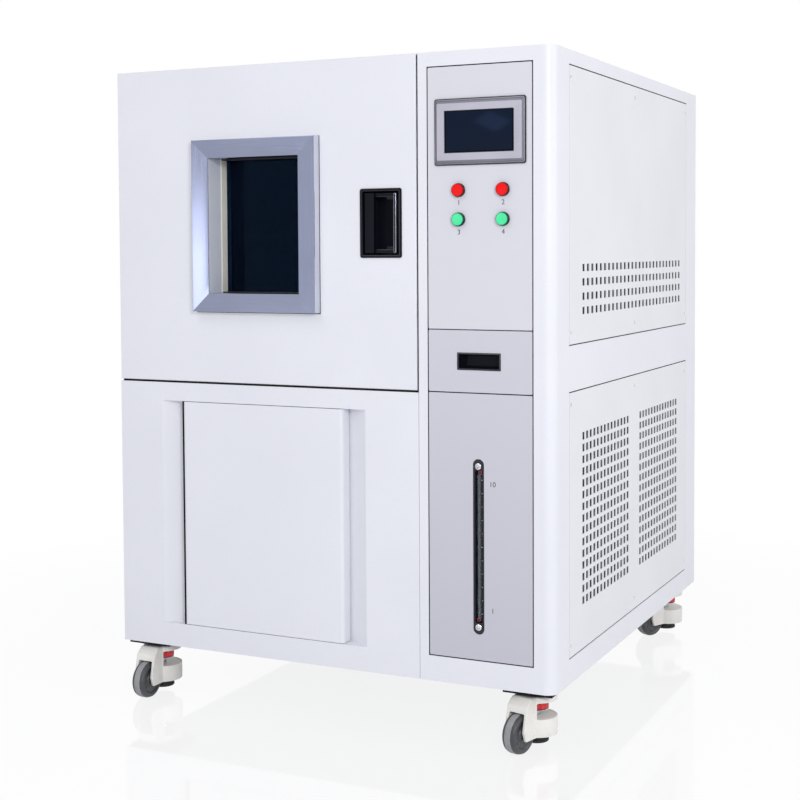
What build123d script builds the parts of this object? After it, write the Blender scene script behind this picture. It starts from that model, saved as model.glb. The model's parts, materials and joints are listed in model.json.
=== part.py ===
"""Environmental test chamber on four levelling casters.

Millimetres. +Z is up, the door faces -Y, and the origin is on the floor
below the middle of the whole chamber.
"""
from build123d import *
from math import atan2, cos, radians, sin
import os

os.makedirs("parts", exist_ok=True)

# Cabinet
body_width = 1085
body_depth = 1155
body_height = 1345
corner_radius = 25
sheet = 2
door_gap = 4.5
inset_gap = 2.5
ring_width = 12

# Door
door_width = 774
door_height = 719
door_depth = 108
gasket_gap = 6
plug_depth = 12
plug_clearance = 8

# Observation window, measured on the trim
window_width = 320
window_height = 390
window_x = 379.5
window_z = 984
trim_width = 42
trim_depth = 24
trim_slope = 3
reveal_depth = 36
seal_width = 4
pane_thickness = 6
pane_pitch = 19
pane_count = 3
first_pane = 58
pane_clear = 0.1

# Door handle
handle_width = 100
handle_height = 150
handle_x = 690
handle_z = 985.5
handle_rim = 6
handle_flange = 3
handle_depth = 34
handle_wall = 1.5
handle_side_room = 6
lever_in = 24
lever_back = 12
lever_clear = 4
lever_pin_radius = 3
lever_pin_length = 6
pad_width = 25
grip_width = 8

# Door hinges
knuckle_radius = 8
pivot_out = 10
pin_radius = 4
leaf_width = 62
leaf_height = 120
leaf_thickness = 4
hinge_inset = 110

# Working space
chamber_width = 500
chamber_height = 500
chamber_depth = 600
duct_depth = 120
rear_insulation = 90
shelf_height = 235
ledge_width = 14
port_radius = 25
port_y = 300
port_rise = 60

# Control column fascia, measured from the body's left and bottom edges
fascia_left = 802
fascia_right = 1037
fascia_bottom = 57.5
drawer_bottom = 626.5
drawer_top = 757.5
fascia_top = 1312

# Touch screen
screen_x = 921.5
screen_z = 1174.5
bezel_width = 206
bezel_height = 140
bezel_depth = 8
display_width = 154
display_height = 86
display_recess = 1.2
screen_body_depth = 38

# Push buttons
button_x = (873, 973)
button_z = (1052.5, 991)
button_names = (("red_button_left", "red_button_right"), ("green_button_left", "green_button_right"))
cap_radius = 14
cap_thickness = 3.4
collar_radius = 14.8
collar_depth = 4.2
button_travel = 2
button_clear = 0.3
stem_radius = 8
barrel_radius = 11
barrel_length = 30

# Water filling drawer
pull_x = 917.5
pull_z = 692
pull_width = 99
pull_height = 37
pull_depth = 24
pull_wall = 1.5
tray_width = 180
tray_length = 300
tray_height = 84
tray_wall = 2.5
tray_clear = 0.4

# Water level gauge
gauge_x = 915.8
gauge_bottom = 112
gauge_top = 486
gauge_width = 25.4
gauge_depth = 22
gauge_screw_inset = 15.5
gauge_screw_radius = 7
gauge_thread = 5

# Lower front recess and its access door
recess_left = 116
recess_right = 649
recess_bottom = 54.5
recess_top = 579
recess_depth = 34
slope_width = 57
access_depth = 28
access_gap = 1.5
access_radius = 8
access_pivot_in = 6
access_pivot_back = 12
access_pin_radius = 4

# Ventilated side panels, measured from the body's front and bottom
side_front = 95
side_back = 1051.5
lower_side = (56, 623)
upper_side = (725.5, 1312.5)
screw_inset_y = 10
screw_inset_z = 25
screw_head_radius = 5
screw_radius = 2.4
screw_length = 9
screw_clear = 0.1

# Casters
caster_height = 130
caster_inset = 64
plate_size = 110
plate_thickness = 7
race_radius = 36
race_height = 6
wheel_radius = 42
wheel_width = 32
wheel_trail = 66
tread_chamfer = 5
caster_turn = {"front_left": 0, "front_right": -14, "rear_left": 12, "rear_right": -25}
axle_radius = 6
fork_gap = 2.5
cheek_thickness = 7
barrel_outer = 46
window_in = 36
swivel_gap = 0.4
foot_lift = 12
foot_radius = 27
thumb_radius = 27
thumb_height = 14
stud_radius = 8
king_radius = 12
king_length = 12

# Fits
running = 0.06
seat = 0.3

# Gland of the supply cable
gland_reach = 30
gland_radius = 14
gland_thread = 10
gland_bore = 6
gland_tail = 14
gland_nut = 12
gland_side = 90
gland_rise = 110

# Machinery inside
fan_rise = 120
fan_radius = 85
motor_radius = 62
motor_length = 104
compressor_radius = 90
compressor_height = 290
compressor_in = 260
machine_back = 610
condenser_length = 420
condenser_height = 400
condenser_thickness = 60
condenser_rise = 210
ring_radius = 165
condenser_shaft = 5
blade_pitch = 30

# Places in the part's frame
hinge_reach = pivot_out + knuckle_radius
front_turns = [radians(abs(caster_turn[name])) for name in ("front_left", "front_right")]
wheel_reach = max((wheel_trail + wheel_radius) * cos(turn) + (wheel_width / 2 - tread_chamfer) * sin(turn)
                  for turn in front_turns)
front_reach = max(trim_depth, wheel_reach - caster_inset)
left = (hinge_reach - body_width) / 2
right = left + body_width
front = (front_reach - body_depth - gland_reach) / 2
back = front + body_depth
bottom = caster_height
top = bottom + body_height

door_left = left
door_right = left + door_width
door_back = front + door_depth
door_bottom = top - door_height
mouth_y = door_back + gasket_gap
column_left = door_right + door_gap
shoulder = door_bottom - door_gap
chamber_x = (door_left + door_right) / 2
chamber_z = (door_bottom + top) / 2
liner_back = mouth_y + chamber_depth + duct_depth
insulation_back = liner_back + rear_insulation
fan_z = chamber_z + fan_rise
port_z = chamber_z + port_rise
pivot_x = left - pivot_out
pivot_y = door_back + 1


def block(x, y, z, mode=Mode.ADD):
    """A square block between two limits along each axis."""
    with Locations(((x[0] + x[1]) / 2, (y[0] + y[1]) / 2, (z[0] + z[1]) / 2)):
        Box(x[1] - x[0], y[1] - y[0], z[1] - z[0], mode=mode)


def about(middle, size):
    """The two limits of a stretch of this size about its middle."""
    return middle - size / 2, middle + size / 2


def front_plane(y):
    """An upright plane facing the front, with its local x and y along +X and +Z."""
    return Plane.XZ.offset(-y)


def rod(start, direction, radius, length, mode=Mode.ADD):
    """A round bar from its start along a direction."""
    with Locations(Plane(origin=start, z_dir=direction).location):
        Cylinder(radius, length, align=(Align.CENTER, Align.CENTER, Align.MIN), mode=mode)


def save(piece, name, place=None):
    """Name a finished piece and write it, moved to its place if it was built at the origin."""
    solid = piece.part.moved(place) if place else piece.part
    solid.label = name
    export_step(solid, f"parts/{name}.step")


# Base frame: floor tray, four posts and the ring that carries the chamber
base_height = 40
base_wall = 3
post = 30
bay_front = mouth_y + 10
bay_right = column_left - 10
with BuildPart() as base_frame:
    with BuildSketch(Plane.XY.offset(bottom)) as tray_plan:
        with Locations(((left + right) / 2, (front + back) / 2)):
            Rectangle(body_width - 2 * sheet, body_depth - 2 * sheet)
        fillet(tray_plan.vertices().group_by(Axis.X)[-1].sort_by(Axis.Y)[0], corner_radius)
    extrude(amount=base_height)
    with BuildSketch(Plane.XY.offset(bottom + base_wall)) as tray_hollow:
        with Locations(((left + right) / 2, (front + back) / 2)):
            Rectangle(body_width - 2 * sheet - 2 * base_wall, body_depth - 2 * sheet - 2 * base_wall)
        fillet(tray_hollow.vertices().group_by(Axis.X)[-1].sort_by(Axis.Y)[0], corner_radius - base_wall)
    extrude(amount=base_height, mode=Mode.SUBTRACT)
    post_x = (left + sheet, bay_right - post)
    post_y = (bay_front, insulation_back - post)
    for x in post_x:
        for y in post_y:
            block((x, x + post), (y, y + post), (bottom + base_wall, shoulder))
    for x in post_x:
        block((x, x + post), (post_y[0], post_y[1] + post), (shoulder - post, shoulder))
    for y in post_y:
        block((post_x[0], post_x[1] + post), (y, y + post), (shoulder - post, shoulder))
save(base_frame, "base_frame")

# Left side panel, cut away at the front where the door lies
with BuildPart() as left_side_panel:
    with BuildSketch(Plane.YZ.offset(left)):
        with BuildLine():
            Polyline(
                (front + sheet, bottom),
                (back - sheet, bottom),
                (back - sheet, top - sheet),
                (mouth_y, top - sheet),
                (mouth_y, shoulder - sheet),
                (front + sheet, shoulder - sheet),
                close=True,
            )
        make_face()
        with Locations((mouth_y + port_y, port_z)):
            Circle(port_radius + 2 * sheet, mode=Mode.SUBTRACT)
    extrude(amount=sheet)
save(left_side_panel, "left_side_panel")

# Roof panel, rounded over the control column's front corner
with BuildPart() as roof_panel:
    with BuildSketch(Plane.XY.offset(top - sheet)) as roof_plan:
        with BuildLine():
            Polyline(
                (left, mouth_y),
                (column_left, mouth_y),
                (column_left, front),
                (right, front),
                (right, back),
                (left, back),
                close=True,
            )
        make_face()
        fillet(roof_plan.vertices().group_by(Axis.X)[-1].sort_by(Axis.Y)[0], corner_radius)
    extrude(amount=sheet)
save(roof_panel, "roof_panel")

# Rear panel with two louvre fields and the hole for the cable gland
louvre = (60, 6)
gland_x = right - gland_side
gland_z = bottom + gland_rise
with BuildPart() as rear_panel:
    block((left, right), (back - sheet, back), (bottom, top - sheet))
    for louvre_z in (bottom + 330, bottom + 1080):
        with BuildSketch(front_plane(back - sheet)):
            with Locations((right - 200, louvre_z)):
                with GridLocations(90, 18, 3, 14):
                    SlotOverall(louvre[0], louvre[1])
        extrude(amount=-sheet, mode=Mode.SUBTRACT)
    rod((gland_x, back - sheet, gland_z), (0, 1, 0), gland_thread + screw_clear, sheet, mode=Mode.SUBTRACT)
save(rear_panel, "rear_panel")

# Gland for the supply cable: nut outside, thread through the rear panel
with BuildPart() as power_gland:
    tail_y = back - sheet - gland_tail
    rod((gland_x, back, gland_z), (0, 1, 0), gland_radius, gland_nut)
    rod((gland_x, back + gland_nut, gland_z), (0, 1, 0), gland_radius - 3, gland_reach - gland_nut)
    rod((gland_x, tail_y, gland_z), (0, 1, 0), gland_thread, back - tail_y)
    rod((gland_x, tail_y, gland_z), (0, 1, 0), gland_bore, back + gland_reach - tail_y, mode=Mode.SUBTRACT)
    fillet(power_gland.faces().sort_by(Axis.Y)[-1].outer_wire().edges(), 2)
save(power_gland, "power_gland")

# Lower front panel with the tapered recess, and the ledge below the door
trough_x = (left + recess_left, left + recess_right)
trough_z = (bottom + recess_bottom, bottom + recess_top)
slope_skew = sheet / sin(atan2(recess_depth, slope_width))
slope_run = slope_width * (recess_depth + sheet) / recess_depth
floor_x = (trough_x[0] + slope_width, trough_x[1] - slope_width)
access_x = (floor_x[0], floor_x[1])
access_z = (trough_z[0] + access_gap, trough_z[1] - access_gap)
access_pivot = (access_x[0] + access_pivot_in, front + access_pivot_back)
opening_x = (floor_x[0] + 25, floor_x[1] - 25)
opening_z = (trough_z[0] + 30, trough_z[1] - 30)
with BuildPart() as lower_front_panel:
    block((left, column_left - 1), (front, front + sheet), (bottom, shoulder))
    block((left, column_left - 1), (front, mouth_y), (shoulder - sheet, shoulder))
    with BuildSketch(Plane.XY.offset(trough_z[0] - sheet)):
        with BuildLine():
            Polyline(
                (trough_x[0] - slope_skew, front),
                (trough_x[1] + slope_skew, front),
                (trough_x[1] + slope_skew - slope_run, front + recess_depth + sheet),
                (trough_x[0] - slope_skew + slope_run, front + recess_depth + sheet),
                close=True,
            )
        make_face()
    extrude(amount=trough_z[1] - trough_z[0] + 2 * sheet)
    with BuildSketch(Plane.XY.offset(trough_z[0])):
        with BuildLine():
            Polyline(
                (trough_x[0], front),
                (trough_x[1], front),
                (floor_x[1], front + recess_depth),
                (floor_x[0], front + recess_depth),
                close=True,
            )
        make_face()
    extrude(amount=trough_z[1] - trough_z[0], mode=Mode.SUBTRACT)
    block(opening_x, (front + recess_depth, front + recess_depth + sheet), opening_z, mode=Mode.SUBTRACT)
    rod((*access_pivot, trough_z[0] - sheet), (0, 0, 1), access_pin_radius + running,
        trough_z[1] - trough_z[0] + 2 * sheet, mode=Mode.SUBTRACT)
save(lower_front_panel, "lower_front_panel")

# Access door: folded pan on two pivot pins, with rounded long edges
with BuildPart() as access_door:
    with BuildSketch(Plane.XY.offset(access_z[0])) as pan_plan:
        with Locations(((access_x[0] + access_x[1]) / 2, front + access_depth / 2)):
            Rectangle(access_x[1] - access_x[0], access_depth)
        fillet(pan_plan.vertices().group_by(Axis.Y)[0], access_radius)
    extrude(amount=access_z[1] - access_z[0])
    with BuildSketch(Plane.XY.offset(access_z[0] + sheet)) as pan_hollow:
        with Locations(((access_x[0] + access_x[1]) / 2, front + sheet + access_depth / 2)):
            Rectangle(access_x[1] - access_x[0] - 2 * sheet, access_depth)
        fillet(pan_hollow.vertices().group_by(Axis.Y)[0], access_radius - sheet)
    extrude(amount=access_z[1] - access_z[0] - 2 * sheet, mode=Mode.SUBTRACT)
    for start in (access_z[0] - access_gap - sheet - 4, access_z[1] - 6):
        rod((*access_pivot, start), (0, 0, 1), access_pin_radius, access_gap + sheet + 10)
save(access_door, "access_door")

# Control column shell: front, rounded corner and right side in one folded sheet
fascia_x = (left + fascia_left, left + fascia_right)
fascia_z = (bottom + fascia_bottom, bottom + drawer_bottom, bottom + drawer_top, bottom + fascia_top)
side_y = (front + side_front, front + side_back)
side_fields = [(bottom + z[0], bottom + z[1]) for z in (lower_side, upper_side)]
screw_y = (side_y[0] + screw_inset_y, sum(side_y) / 2, side_y[1] - screw_inset_y)
screw_places = [(y, z) for low, high in side_fields for z in (low + screw_inset_z, high - screw_inset_z)
                for y in screw_y]
crossbars = [(z - ring_width, z + ring_width) for z in fascia_z[1:3]]
column_return = door_depth + 40
runner_x = about(left + pull_x, tray_width)
runner_level = crossbars[0][1] + 1
with BuildPart() as column_shell:
    with BuildSketch(Plane.XY.offset(bottom)) as column_plan:
        with Locations(((column_left + right) / 2, (front + back) / 2)):
            Rectangle(right - column_left, body_depth)
        fillet(column_plan.vertices().group_by(Axis.X)[-1].sort_by(Axis.Y)[0], corner_radius)
    extrude(amount=body_height - sheet)
    with BuildSketch(Plane.XY.offset(bottom)) as column_hollow:
        with Locations(((column_left + right) / 2, (front + back) / 2)):
            Rectangle(right - column_left - 2 * sheet, body_depth - 2 * sheet)
        fillet(column_hollow.vertices().group_by(Axis.X)[-1].sort_by(Axis.Y)[0], corner_radius - sheet)
    extrude(amount=body_height - sheet, mode=Mode.SUBTRACT)
    block((column_left, right), (back - sheet, back), (bottom, top), mode=Mode.SUBTRACT)
    block((column_left, column_left + sheet), (front + column_return, back), (bottom, top),
          mode=Mode.SUBTRACT)
    block((column_left, column_left + sheet), (front + sheet, back), (bottom, bottom + base_height),
          mode=Mode.SUBTRACT)
    block((fascia_x[0] - inset_gap, fascia_x[1] + inset_gap), (front, front + sheet),
          (fascia_z[0] - inset_gap, fascia_z[3] + inset_gap), mode=Mode.SUBTRACT)
    block((fascia_x[0] - ring_width, fascia_x[1] + ring_width), (front + sheet, front + 2 * sheet),
          (fascia_z[0] - ring_width, fascia_z[3] + ring_width))
    for low, high in ((fascia_z[0] + ring_width, crossbars[0][0]), (crossbars[0][1], crossbars[1][0]),
                      (crossbars[1][1], fascia_z[3] - ring_width)):
        block((fascia_x[0] + ring_width, fascia_x[1] - ring_width), (front + sheet, front + 2 * sheet),
              (low, high), mode=Mode.SUBTRACT)
    for low, high in side_fields:
        block((right - sheet, right), (side_y[0] - inset_gap, side_y[1] + inset_gap),
              (low - inset_gap, high + inset_gap), mode=Mode.SUBTRACT)
        block((right - 2 * sheet, right - sheet), (side_y[0] - ring_width, side_y[1] + ring_width),
              (low - ring_width, high + ring_width))
        block((right - 2 * sheet, right - sheet), (side_y[0] + 2 * ring_width, side_y[1] - 2 * ring_width),
              (low + 3 * ring_width, high - 3 * ring_width), mode=Mode.SUBTRACT)
    for y, z in screw_places:
        rod((right - 2 * sheet, y, z), (1, 0, 0), screw_radius + screw_clear, sheet, mode=Mode.SUBTRACT)
    for wall in (runner_x[0] - tray_clear - 3, runner_x[1] + tray_clear):
        block((wall, wall + 3), (front + 2 * sheet, front + tray_length + 20),
              (crossbars[0][1] - 2, crossbars[0][1] + 36))
    for ledge in ((runner_x[0] - tray_clear, runner_x[0] + 12), (runner_x[1] - 12, runner_x[1] + tray_clear)):
        block(ledge, (front + 2 * sheet, front + tray_length + 20), (crossbars[0][1] - 2, runner_level))
save(column_shell, "column_shell")


def side_panel(name, field, blocks):
    """A ventilated side panel. Each block of slots is (y, z, columns, rows, pitches, slot size)."""
    with BuildPart() as panel:
        plate = Face.make_rect(side_y[1] - side_y[0], field[1] - field[0],
                               Plane(origin=(right - sheet, sum(side_y) / 2, sum(field) / 2), x_dir=(0, 1, 0),
                                     z_dir=(1, 0, 0)))
        slots = []
        for y, z, columns, rows, pitch, slot in blocks:
            for place in GridLocations(pitch[0], pitch[1], columns, rows):
                middle = (right - sheet, front + y + place.position.X, bottom + z + place.position.Y)
                slots.append(Wire.make_rect(*slot, Plane(origin=middle, x_dir=(0, 1, 0), z_dir=(1, 0, 0))))
        extrude(plate.make_holes(slots), amount=sheet)
        for y, z in screw_places:
            if field[0] < z < field[1]:
                with Locations(Location((right - sheet / 2, y, z), (0, 90, 0))):
                    Cone(screw_radius + screw_clear, screw_head_radius + screw_clear, sheet,
                         mode=Mode.SUBTRACT)
    save(panel, name)


# Side panels: four rows of slots above, two fields of slots below
side_panel("upper_side_panel", side_fields[1], [(585.5, 840.8, 27, 4, (30.5, 31), (16, 16))])
side_panel("lower_side_panel", side_fields[0],
           [(y, 341.6, 14, 15, (25.4, 25.75), (15.4, 17)) for y in (354, 790)])

# Fascias: the upper one with openings for the screen and the buttons, the lower one with the gauge slot
screen_place = (left + screen_x, bottom + screen_z)
button_places = [[(left + x, bottom + z) for x in button_x] for z in button_z]
gauge_place = (left + gauge_x, bottom + (gauge_bottom + gauge_top) / 2)
gauge_length = gauge_top - gauge_bottom
with BuildPart() as column_fascias:
    with BuildSketch(front_plane(front)) as upper_face:
        with Locations((sum(fascia_x) / 2, (fascia_z[2] + inset_gap + fascia_z[3]) / 2)):
            Rectangle(fascia_x[1] - fascia_x[0], fascia_z[3] - fascia_z[2] - inset_gap)
        fillet(upper_face.vertices(), 3)
        with Locations(screen_place):
            Rectangle(bezel_width - 12, bezel_height - 12, mode=Mode.SUBTRACT)
        with Locations(*[place for row in button_places for place in row]):
            Circle(barrel_radius + screw_clear, mode=Mode.SUBTRACT)
    extrude(amount=-sheet)
    with BuildSketch(front_plane(front)) as lower_face:
        with Locations((sum(fascia_x) / 2, (fascia_z[0] + fascia_z[1] - inset_gap) / 2)):
            Rectangle(fascia_x[1] - fascia_x[0], fascia_z[1] - fascia_z[0] - inset_gap)
        fillet(lower_face.vertices(), 3)
        with Locations(gauge_place):
            SlotOverall(gauge_length, gauge_width, rotation=90, mode=Mode.SUBTRACT)
    extrude(amount=-sheet)
save(column_fascias, "column_fascias")

# Touch screen: bezel with its rear housing, and the display set into it
with BuildPart() as touchscreen_bezel:
    with BuildSketch(front_plane(front)) as bezel_face:
        with Locations(screen_place):
            Rectangle(bezel_width, bezel_height)
        fillet(bezel_face.vertices(), 8)
    extrude(amount=bezel_depth)
    chamfer(touchscreen_bezel.faces().sort_by(Axis.Y)[0].edges(), 3)
    block(about(screen_place[0], bezel_width - 13), (front, front + screen_body_depth),
          about(screen_place[1], bezel_height - 13))
    block(about(screen_place[0], display_width), (front - bezel_depth, front - 2),
          about(screen_place[1], display_height), mode=Mode.SUBTRACT)
save(touchscreen_bezel, "touchscreen_bezel")

with BuildPart() as touchscreen_glass:
    block(about(screen_place[0], display_width - 0.4), (front - bezel_depth + display_recess, front - 2),
          about(screen_place[1], display_height - 0.4))
save(touchscreen_glass, "touchscreen_glass")

# Button collars: sleeve in front of the fascia, threaded barrel through it
with BuildPart() as button_collars:
    for x, z in [place for row in button_places for place in row]:
        rod((x, front, z), (0, -1, 0), collar_radius, collar_depth)
        rod((x, front, z), (0, 1, 0), barrel_radius, barrel_length)
        rod((x, front - collar_depth, z), (0, 1, 0), stem_radius + running, collar_depth + barrel_length,
            mode=Mode.SUBTRACT)
    fillet(button_collars.faces().filter_by(Plane.XZ).sort_by(Axis.Y)[:4].edges().filter_by(
        lambda edge: edge.radius > stem_radius + 1), 1.2)
save(button_collars, "button_collars")

# Push buttons: cap in front of the collar, stem inside it
for names, places in zip(button_names, button_places):
    for name, (x, z) in zip(names, places):
        cap_back = front - collar_depth - button_travel - button_clear
        with BuildPart() as button:
            rod((x, cap_back, z), (0, -1, 0), cap_radius, cap_thickness)
            fillet(button.faces().sort_by(Axis.Y)[0].edges(), 2)
            rod((x, cap_back, z), (0, 1, 0), stem_radius, front + barrel_length - 4 - cap_back)
        save(button, name)

# Water filling drawer: front, tray behind it and the pull cup set into it
pull_place = (left + pull_x, bottom + pull_z)
tray_z = (runner_level + tray_clear, runner_level + tray_clear + tray_height)
with BuildPart() as drawer_front:
    with BuildSketch(front_plane(front)) as drawer_face:
        with Locations((sum(fascia_x) / 2, (fascia_z[1] + fascia_z[2]) / 2)):
            Rectangle(fascia_x[1] - fascia_x[0], fascia_z[2] - fascia_z[1])
        fillet(drawer_face.vertices(), 3)
        with Locations(pull_place):
            Rectangle(pull_width - 4, pull_height - 4, mode=Mode.SUBTRACT)
    extrude(amount=-(sheet - 0.2))
save(drawer_front, "drawer_front")

with BuildPart() as drawer_tray:
    block(runner_x, (front + sheet - 0.2, front + tray_length), tray_z)
    block((runner_x[0] + tray_wall, runner_x[1] - tray_wall),
          (front + sheet + pull_depth + 3, front + tray_length - tray_wall),
          (tray_z[0] + tray_wall, tray_z[1]), mode=Mode.SUBTRACT)
    block(about(pull_place[0], pull_width - 4), (front, front + sheet + pull_depth + 0.5),
          about(pull_place[1], pull_height - 4), mode=Mode.SUBTRACT)
save(drawer_tray, "drawer_tray")

with BuildPart() as drawer_pull:
    block(about(pull_place[0], pull_width), (front - 1.5, front), about(pull_place[1], pull_height))
    block(about(pull_place[0], pull_width - 4.6), (front, front + sheet + pull_depth),
          about(pull_place[1], pull_height - 4.6))
    block(about(pull_place[0], pull_width - 4.6 - 2 * pull_wall),
          (front - 1.5, front + sheet + pull_depth - pull_wall),
          about(pull_place[1], pull_height - 4.6 - 2 * pull_wall), mode=Mode.SUBTRACT)
save(drawer_pull, "drawer_pull")

# Level gauge: body in the slot, held to the tank behind by two hollow screws
gauge_screw_z = (bottom + gauge_bottom + gauge_screw_inset, bottom + gauge_top - gauge_screw_inset)
tank_front = front + gauge_depth
with BuildPart() as level_gauge:
    with BuildSketch(front_plane(front + 1)):
        with Locations(gauge_place):
            SlotOverall(gauge_length - 2 * seat, gauge_width - 2 * seat, rotation=90)
    extrude(amount=-(gauge_depth - 1))
    for z in gauge_screw_z:
        rod((gauge_place[0], front + 1, z), (0, 1, 0), gauge_thread + screw_clear, gauge_depth - 1,
            mode=Mode.SUBTRACT)
save(level_gauge, "level_gauge")

# Screws: domed ones through the gauge, countersunk ones in the side panels
with BuildPart() as panel_screws:
    for z in gauge_screw_z:
        rod((gauge_place[0], front + 1, z), (0, -1, 0), gauge_screw_radius, 6)
        rod((gauge_place[0], front + 1, z), (0, 1, 0), gauge_thread, gauge_depth + 12)
    fillet(panel_screws.faces().filter_by(Plane.XZ).sort_by(Axis.Y)[:2].edges(), 4)
    for y, z in screw_places:
        with Locations(Location((right - sheet / 2, y, z), (0, 90, 0))):
            Cone(screw_radius, screw_head_radius, sheet)
        rod((right - screw_length, y, z), (1, 0, 0), screw_radius, screw_length - sheet)
save(panel_screws, "panel_screws")

# Water tank behind the lower fascia, hung on the gauge screws
tank_size = (190, 220, 420)
tank_wall = 4
tank_front_wall = 14
tank_z = about(gauge_place[1], tank_size[2])
with BuildPart() as water_tank:
    block(about(gauge_place[0], tank_size[0]), (tank_front, tank_front + tank_size[1]), tank_z)
    block(about(gauge_place[0], tank_size[0] - 2 * tank_wall),
          (tank_front + tank_front_wall, tank_front + tank_size[1] - tank_wall),
          (tank_z[0] + tank_wall, tank_z[1] - tank_wall), mode=Mode.SUBTRACT)
    for z in gauge_screw_z:
        rod((gauge_place[0], tank_front, z), (0, 1, 0), gauge_thread + screw_clear, tank_front_wall,
            mode=Mode.SUBTRACT)
save(water_tank, "water_tank")

# Control plate in the upper column, with its contactors on a rail
plate_x = column_left
control_y = (front + tray_length + 40, front + 940)
control_z = (shoulder + 60, top - 60)
with BuildPart() as control_plate:
    block((plate_x, plate_x + 3), control_y, control_z)
    for rail_z in (control_z[0] + 120, control_z[0] + 300, control_z[0] + 480):
        block((plate_x + 3, plate_x + 12), (control_y[0] + 30, control_y[1] - 30), about(rail_z, 35))
    for rail_z, count in ((control_z[0] + 120, 7), (control_z[0] + 300, 5), (control_z[0] + 480, 9)):
        pitch = (control_y[1] - control_y[0] - 120) / count
        for index in range(count):
            y = control_y[0] + 60 + (index + 0.5) * pitch
            block((plate_x + 12, plate_x + 82), about(y, pitch * 0.85), about(rail_z, 85))
save(control_plate, "control_plate")

# Stainless liner: open box with its front flange, shelf ledges and the port tube
inner_x = about(chamber_x, chamber_width)
inner_z = about(chamber_z, chamber_height)
ledge_top = inner_z[0] + shelf_height
with BuildPart() as chamber_liner:
    block((left + sheet, column_left), (mouth_y, mouth_y + sheet), (shoulder, top - sheet))
    block((inner_x[0] - sheet, inner_x[1] + sheet), (mouth_y, liner_back),
          (inner_z[0] - sheet, inner_z[1] + sheet))
    block(inner_x, (mouth_y, liner_back - sheet), inner_z, mode=Mode.SUBTRACT)
    for ledge in ((inner_x[0], inner_x[0] + ledge_width), (inner_x[1] - ledge_width, inner_x[1])):
        block(ledge, (mouth_y + 30, mouth_y + chamber_depth), (ledge_top - sheet, ledge_top))
    rod((left, mouth_y + port_y, port_z), (1, 0, 0), port_radius + sheet, inner_x[0] - left)
    rod((left, mouth_y + port_y, port_z), (1, 0, 0), port_radius, inner_x[0] - left + 1,
        mode=Mode.SUBTRACT)
    rod((chamber_x, liner_back - sheet, fan_z), (0, 1, 0), 10, sheet, mode=Mode.SUBTRACT)
save(chamber_liner, "chamber_liner")

# Insulation round the liner
with BuildPart() as chamber_insulation:
    block((left + sheet, column_left), (mouth_y + sheet, insulation_back), (shoulder, top - sheet))
    block((inner_x[0] - sheet, inner_x[1] + sheet), (mouth_y + sheet, liner_back),
          (inner_z[0] - sheet, inner_z[1] + sheet), mode=Mode.SUBTRACT)
    rod((left, mouth_y + port_y, port_z), (1, 0, 0), port_radius + sheet, inner_x[0] - left,
        mode=Mode.SUBTRACT)
    rod((chamber_x, liner_back, fan_z), (0, 1, 0), 12, rear_insulation, mode=Mode.SUBTRACT)
    for y in post_y:
        block((post_x[1], column_left), (y, y + post), (shoulder, shoulder + 1), mode=Mode.SUBTRACT)
save(chamber_insulation, "chamber_insulation")

# Air baffle between the working space and the air duct
baffle_y = mouth_y + chamber_depth + 2
with BuildPart() as air_baffle:
    with BuildSketch(front_plane(baffle_y)):
        with Locations((chamber_x, chamber_z)):
            Rectangle(chamber_width - 2 * seat, chamber_height - 2 * seat)
            with Locations((0, chamber_height / 2 - 40), (0, 40 - chamber_height / 2)):
                with GridLocations(40, 14, 11, 3):
                    SlotOverall(30, 7, mode=Mode.SUBTRACT)
        with Locations((chamber_x, fan_z)):
            with PolarLocations(52, 10):
                Circle(9, mode=Mode.SUBTRACT)
            with PolarLocations(24, 5):
                Circle(7, mode=Mode.SUBTRACT)
    extrude(amount=-sheet)
    for x in about(chamber_x, chamber_width - 2 * seat - 20):
        block(about(x, 20), (baffle_y + sheet, liner_back - sheet), (inner_z[0] + seat, inner_z[0] + 24))
save(air_baffle, "air_baffle")

# Circulation fan: drum of blades on the motor shaft
fan_y = (baffle_y + 22, liner_back - 22)
motor_y = insulation_back
shaft_radius = 6
blade_count = 16
with BuildPart() as circulation_fan:
    rod((chamber_x, fan_y[1] - 3, fan_z), (0, 1, 0), fan_radius, 3)
    rod((chamber_x, fan_y[0], fan_z), (0, 1, 0), fan_radius, 3)
    rod((chamber_x, fan_y[0], fan_z), (0, 1, 0), fan_radius - 24, 3, mode=Mode.SUBTRACT)
    rod((chamber_x, fan_y[1] - 30, fan_z), (0, 1, 0), 18, 30)
    with BuildSketch(front_plane(fan_y[0] + 2)):
        with Locations((chamber_x, fan_z)):
            with PolarLocations(fan_radius - 13, blade_count):
                Rectangle(20, 2.5, rotation=35)
    extrude(amount=-(fan_y[1] - fan_y[0] - 4))
    rod((chamber_x, fan_y[1] - 30, fan_z), (0, 1, 0), shaft_radius, motor_y + 60 - fan_y[1] + 30)
save(circulation_fan, "circulation_fan")

# Fan motor on a flange behind the insulation
with BuildPart() as fan_motor:
    block(about(chamber_x, 170), (motor_y, motor_y + 6), about(fan_z, 170))
    rod((chamber_x, motor_y + 6, fan_z), (0, 1, 0), motor_radius, motor_length)
    with BuildSketch(front_plane(motor_y + 14)):
        with Locations((chamber_x, fan_z)):
            with PolarLocations(motor_radius + 3, 24):
                Rectangle(9, 2.4)
    extrude(amount=-(motor_length - 20))
    rod((chamber_x, motor_y, fan_z), (0, 1, 0), shaft_radius + running, 70, mode=Mode.SUBTRACT)
save(fan_motor, "fan_motor")

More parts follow.
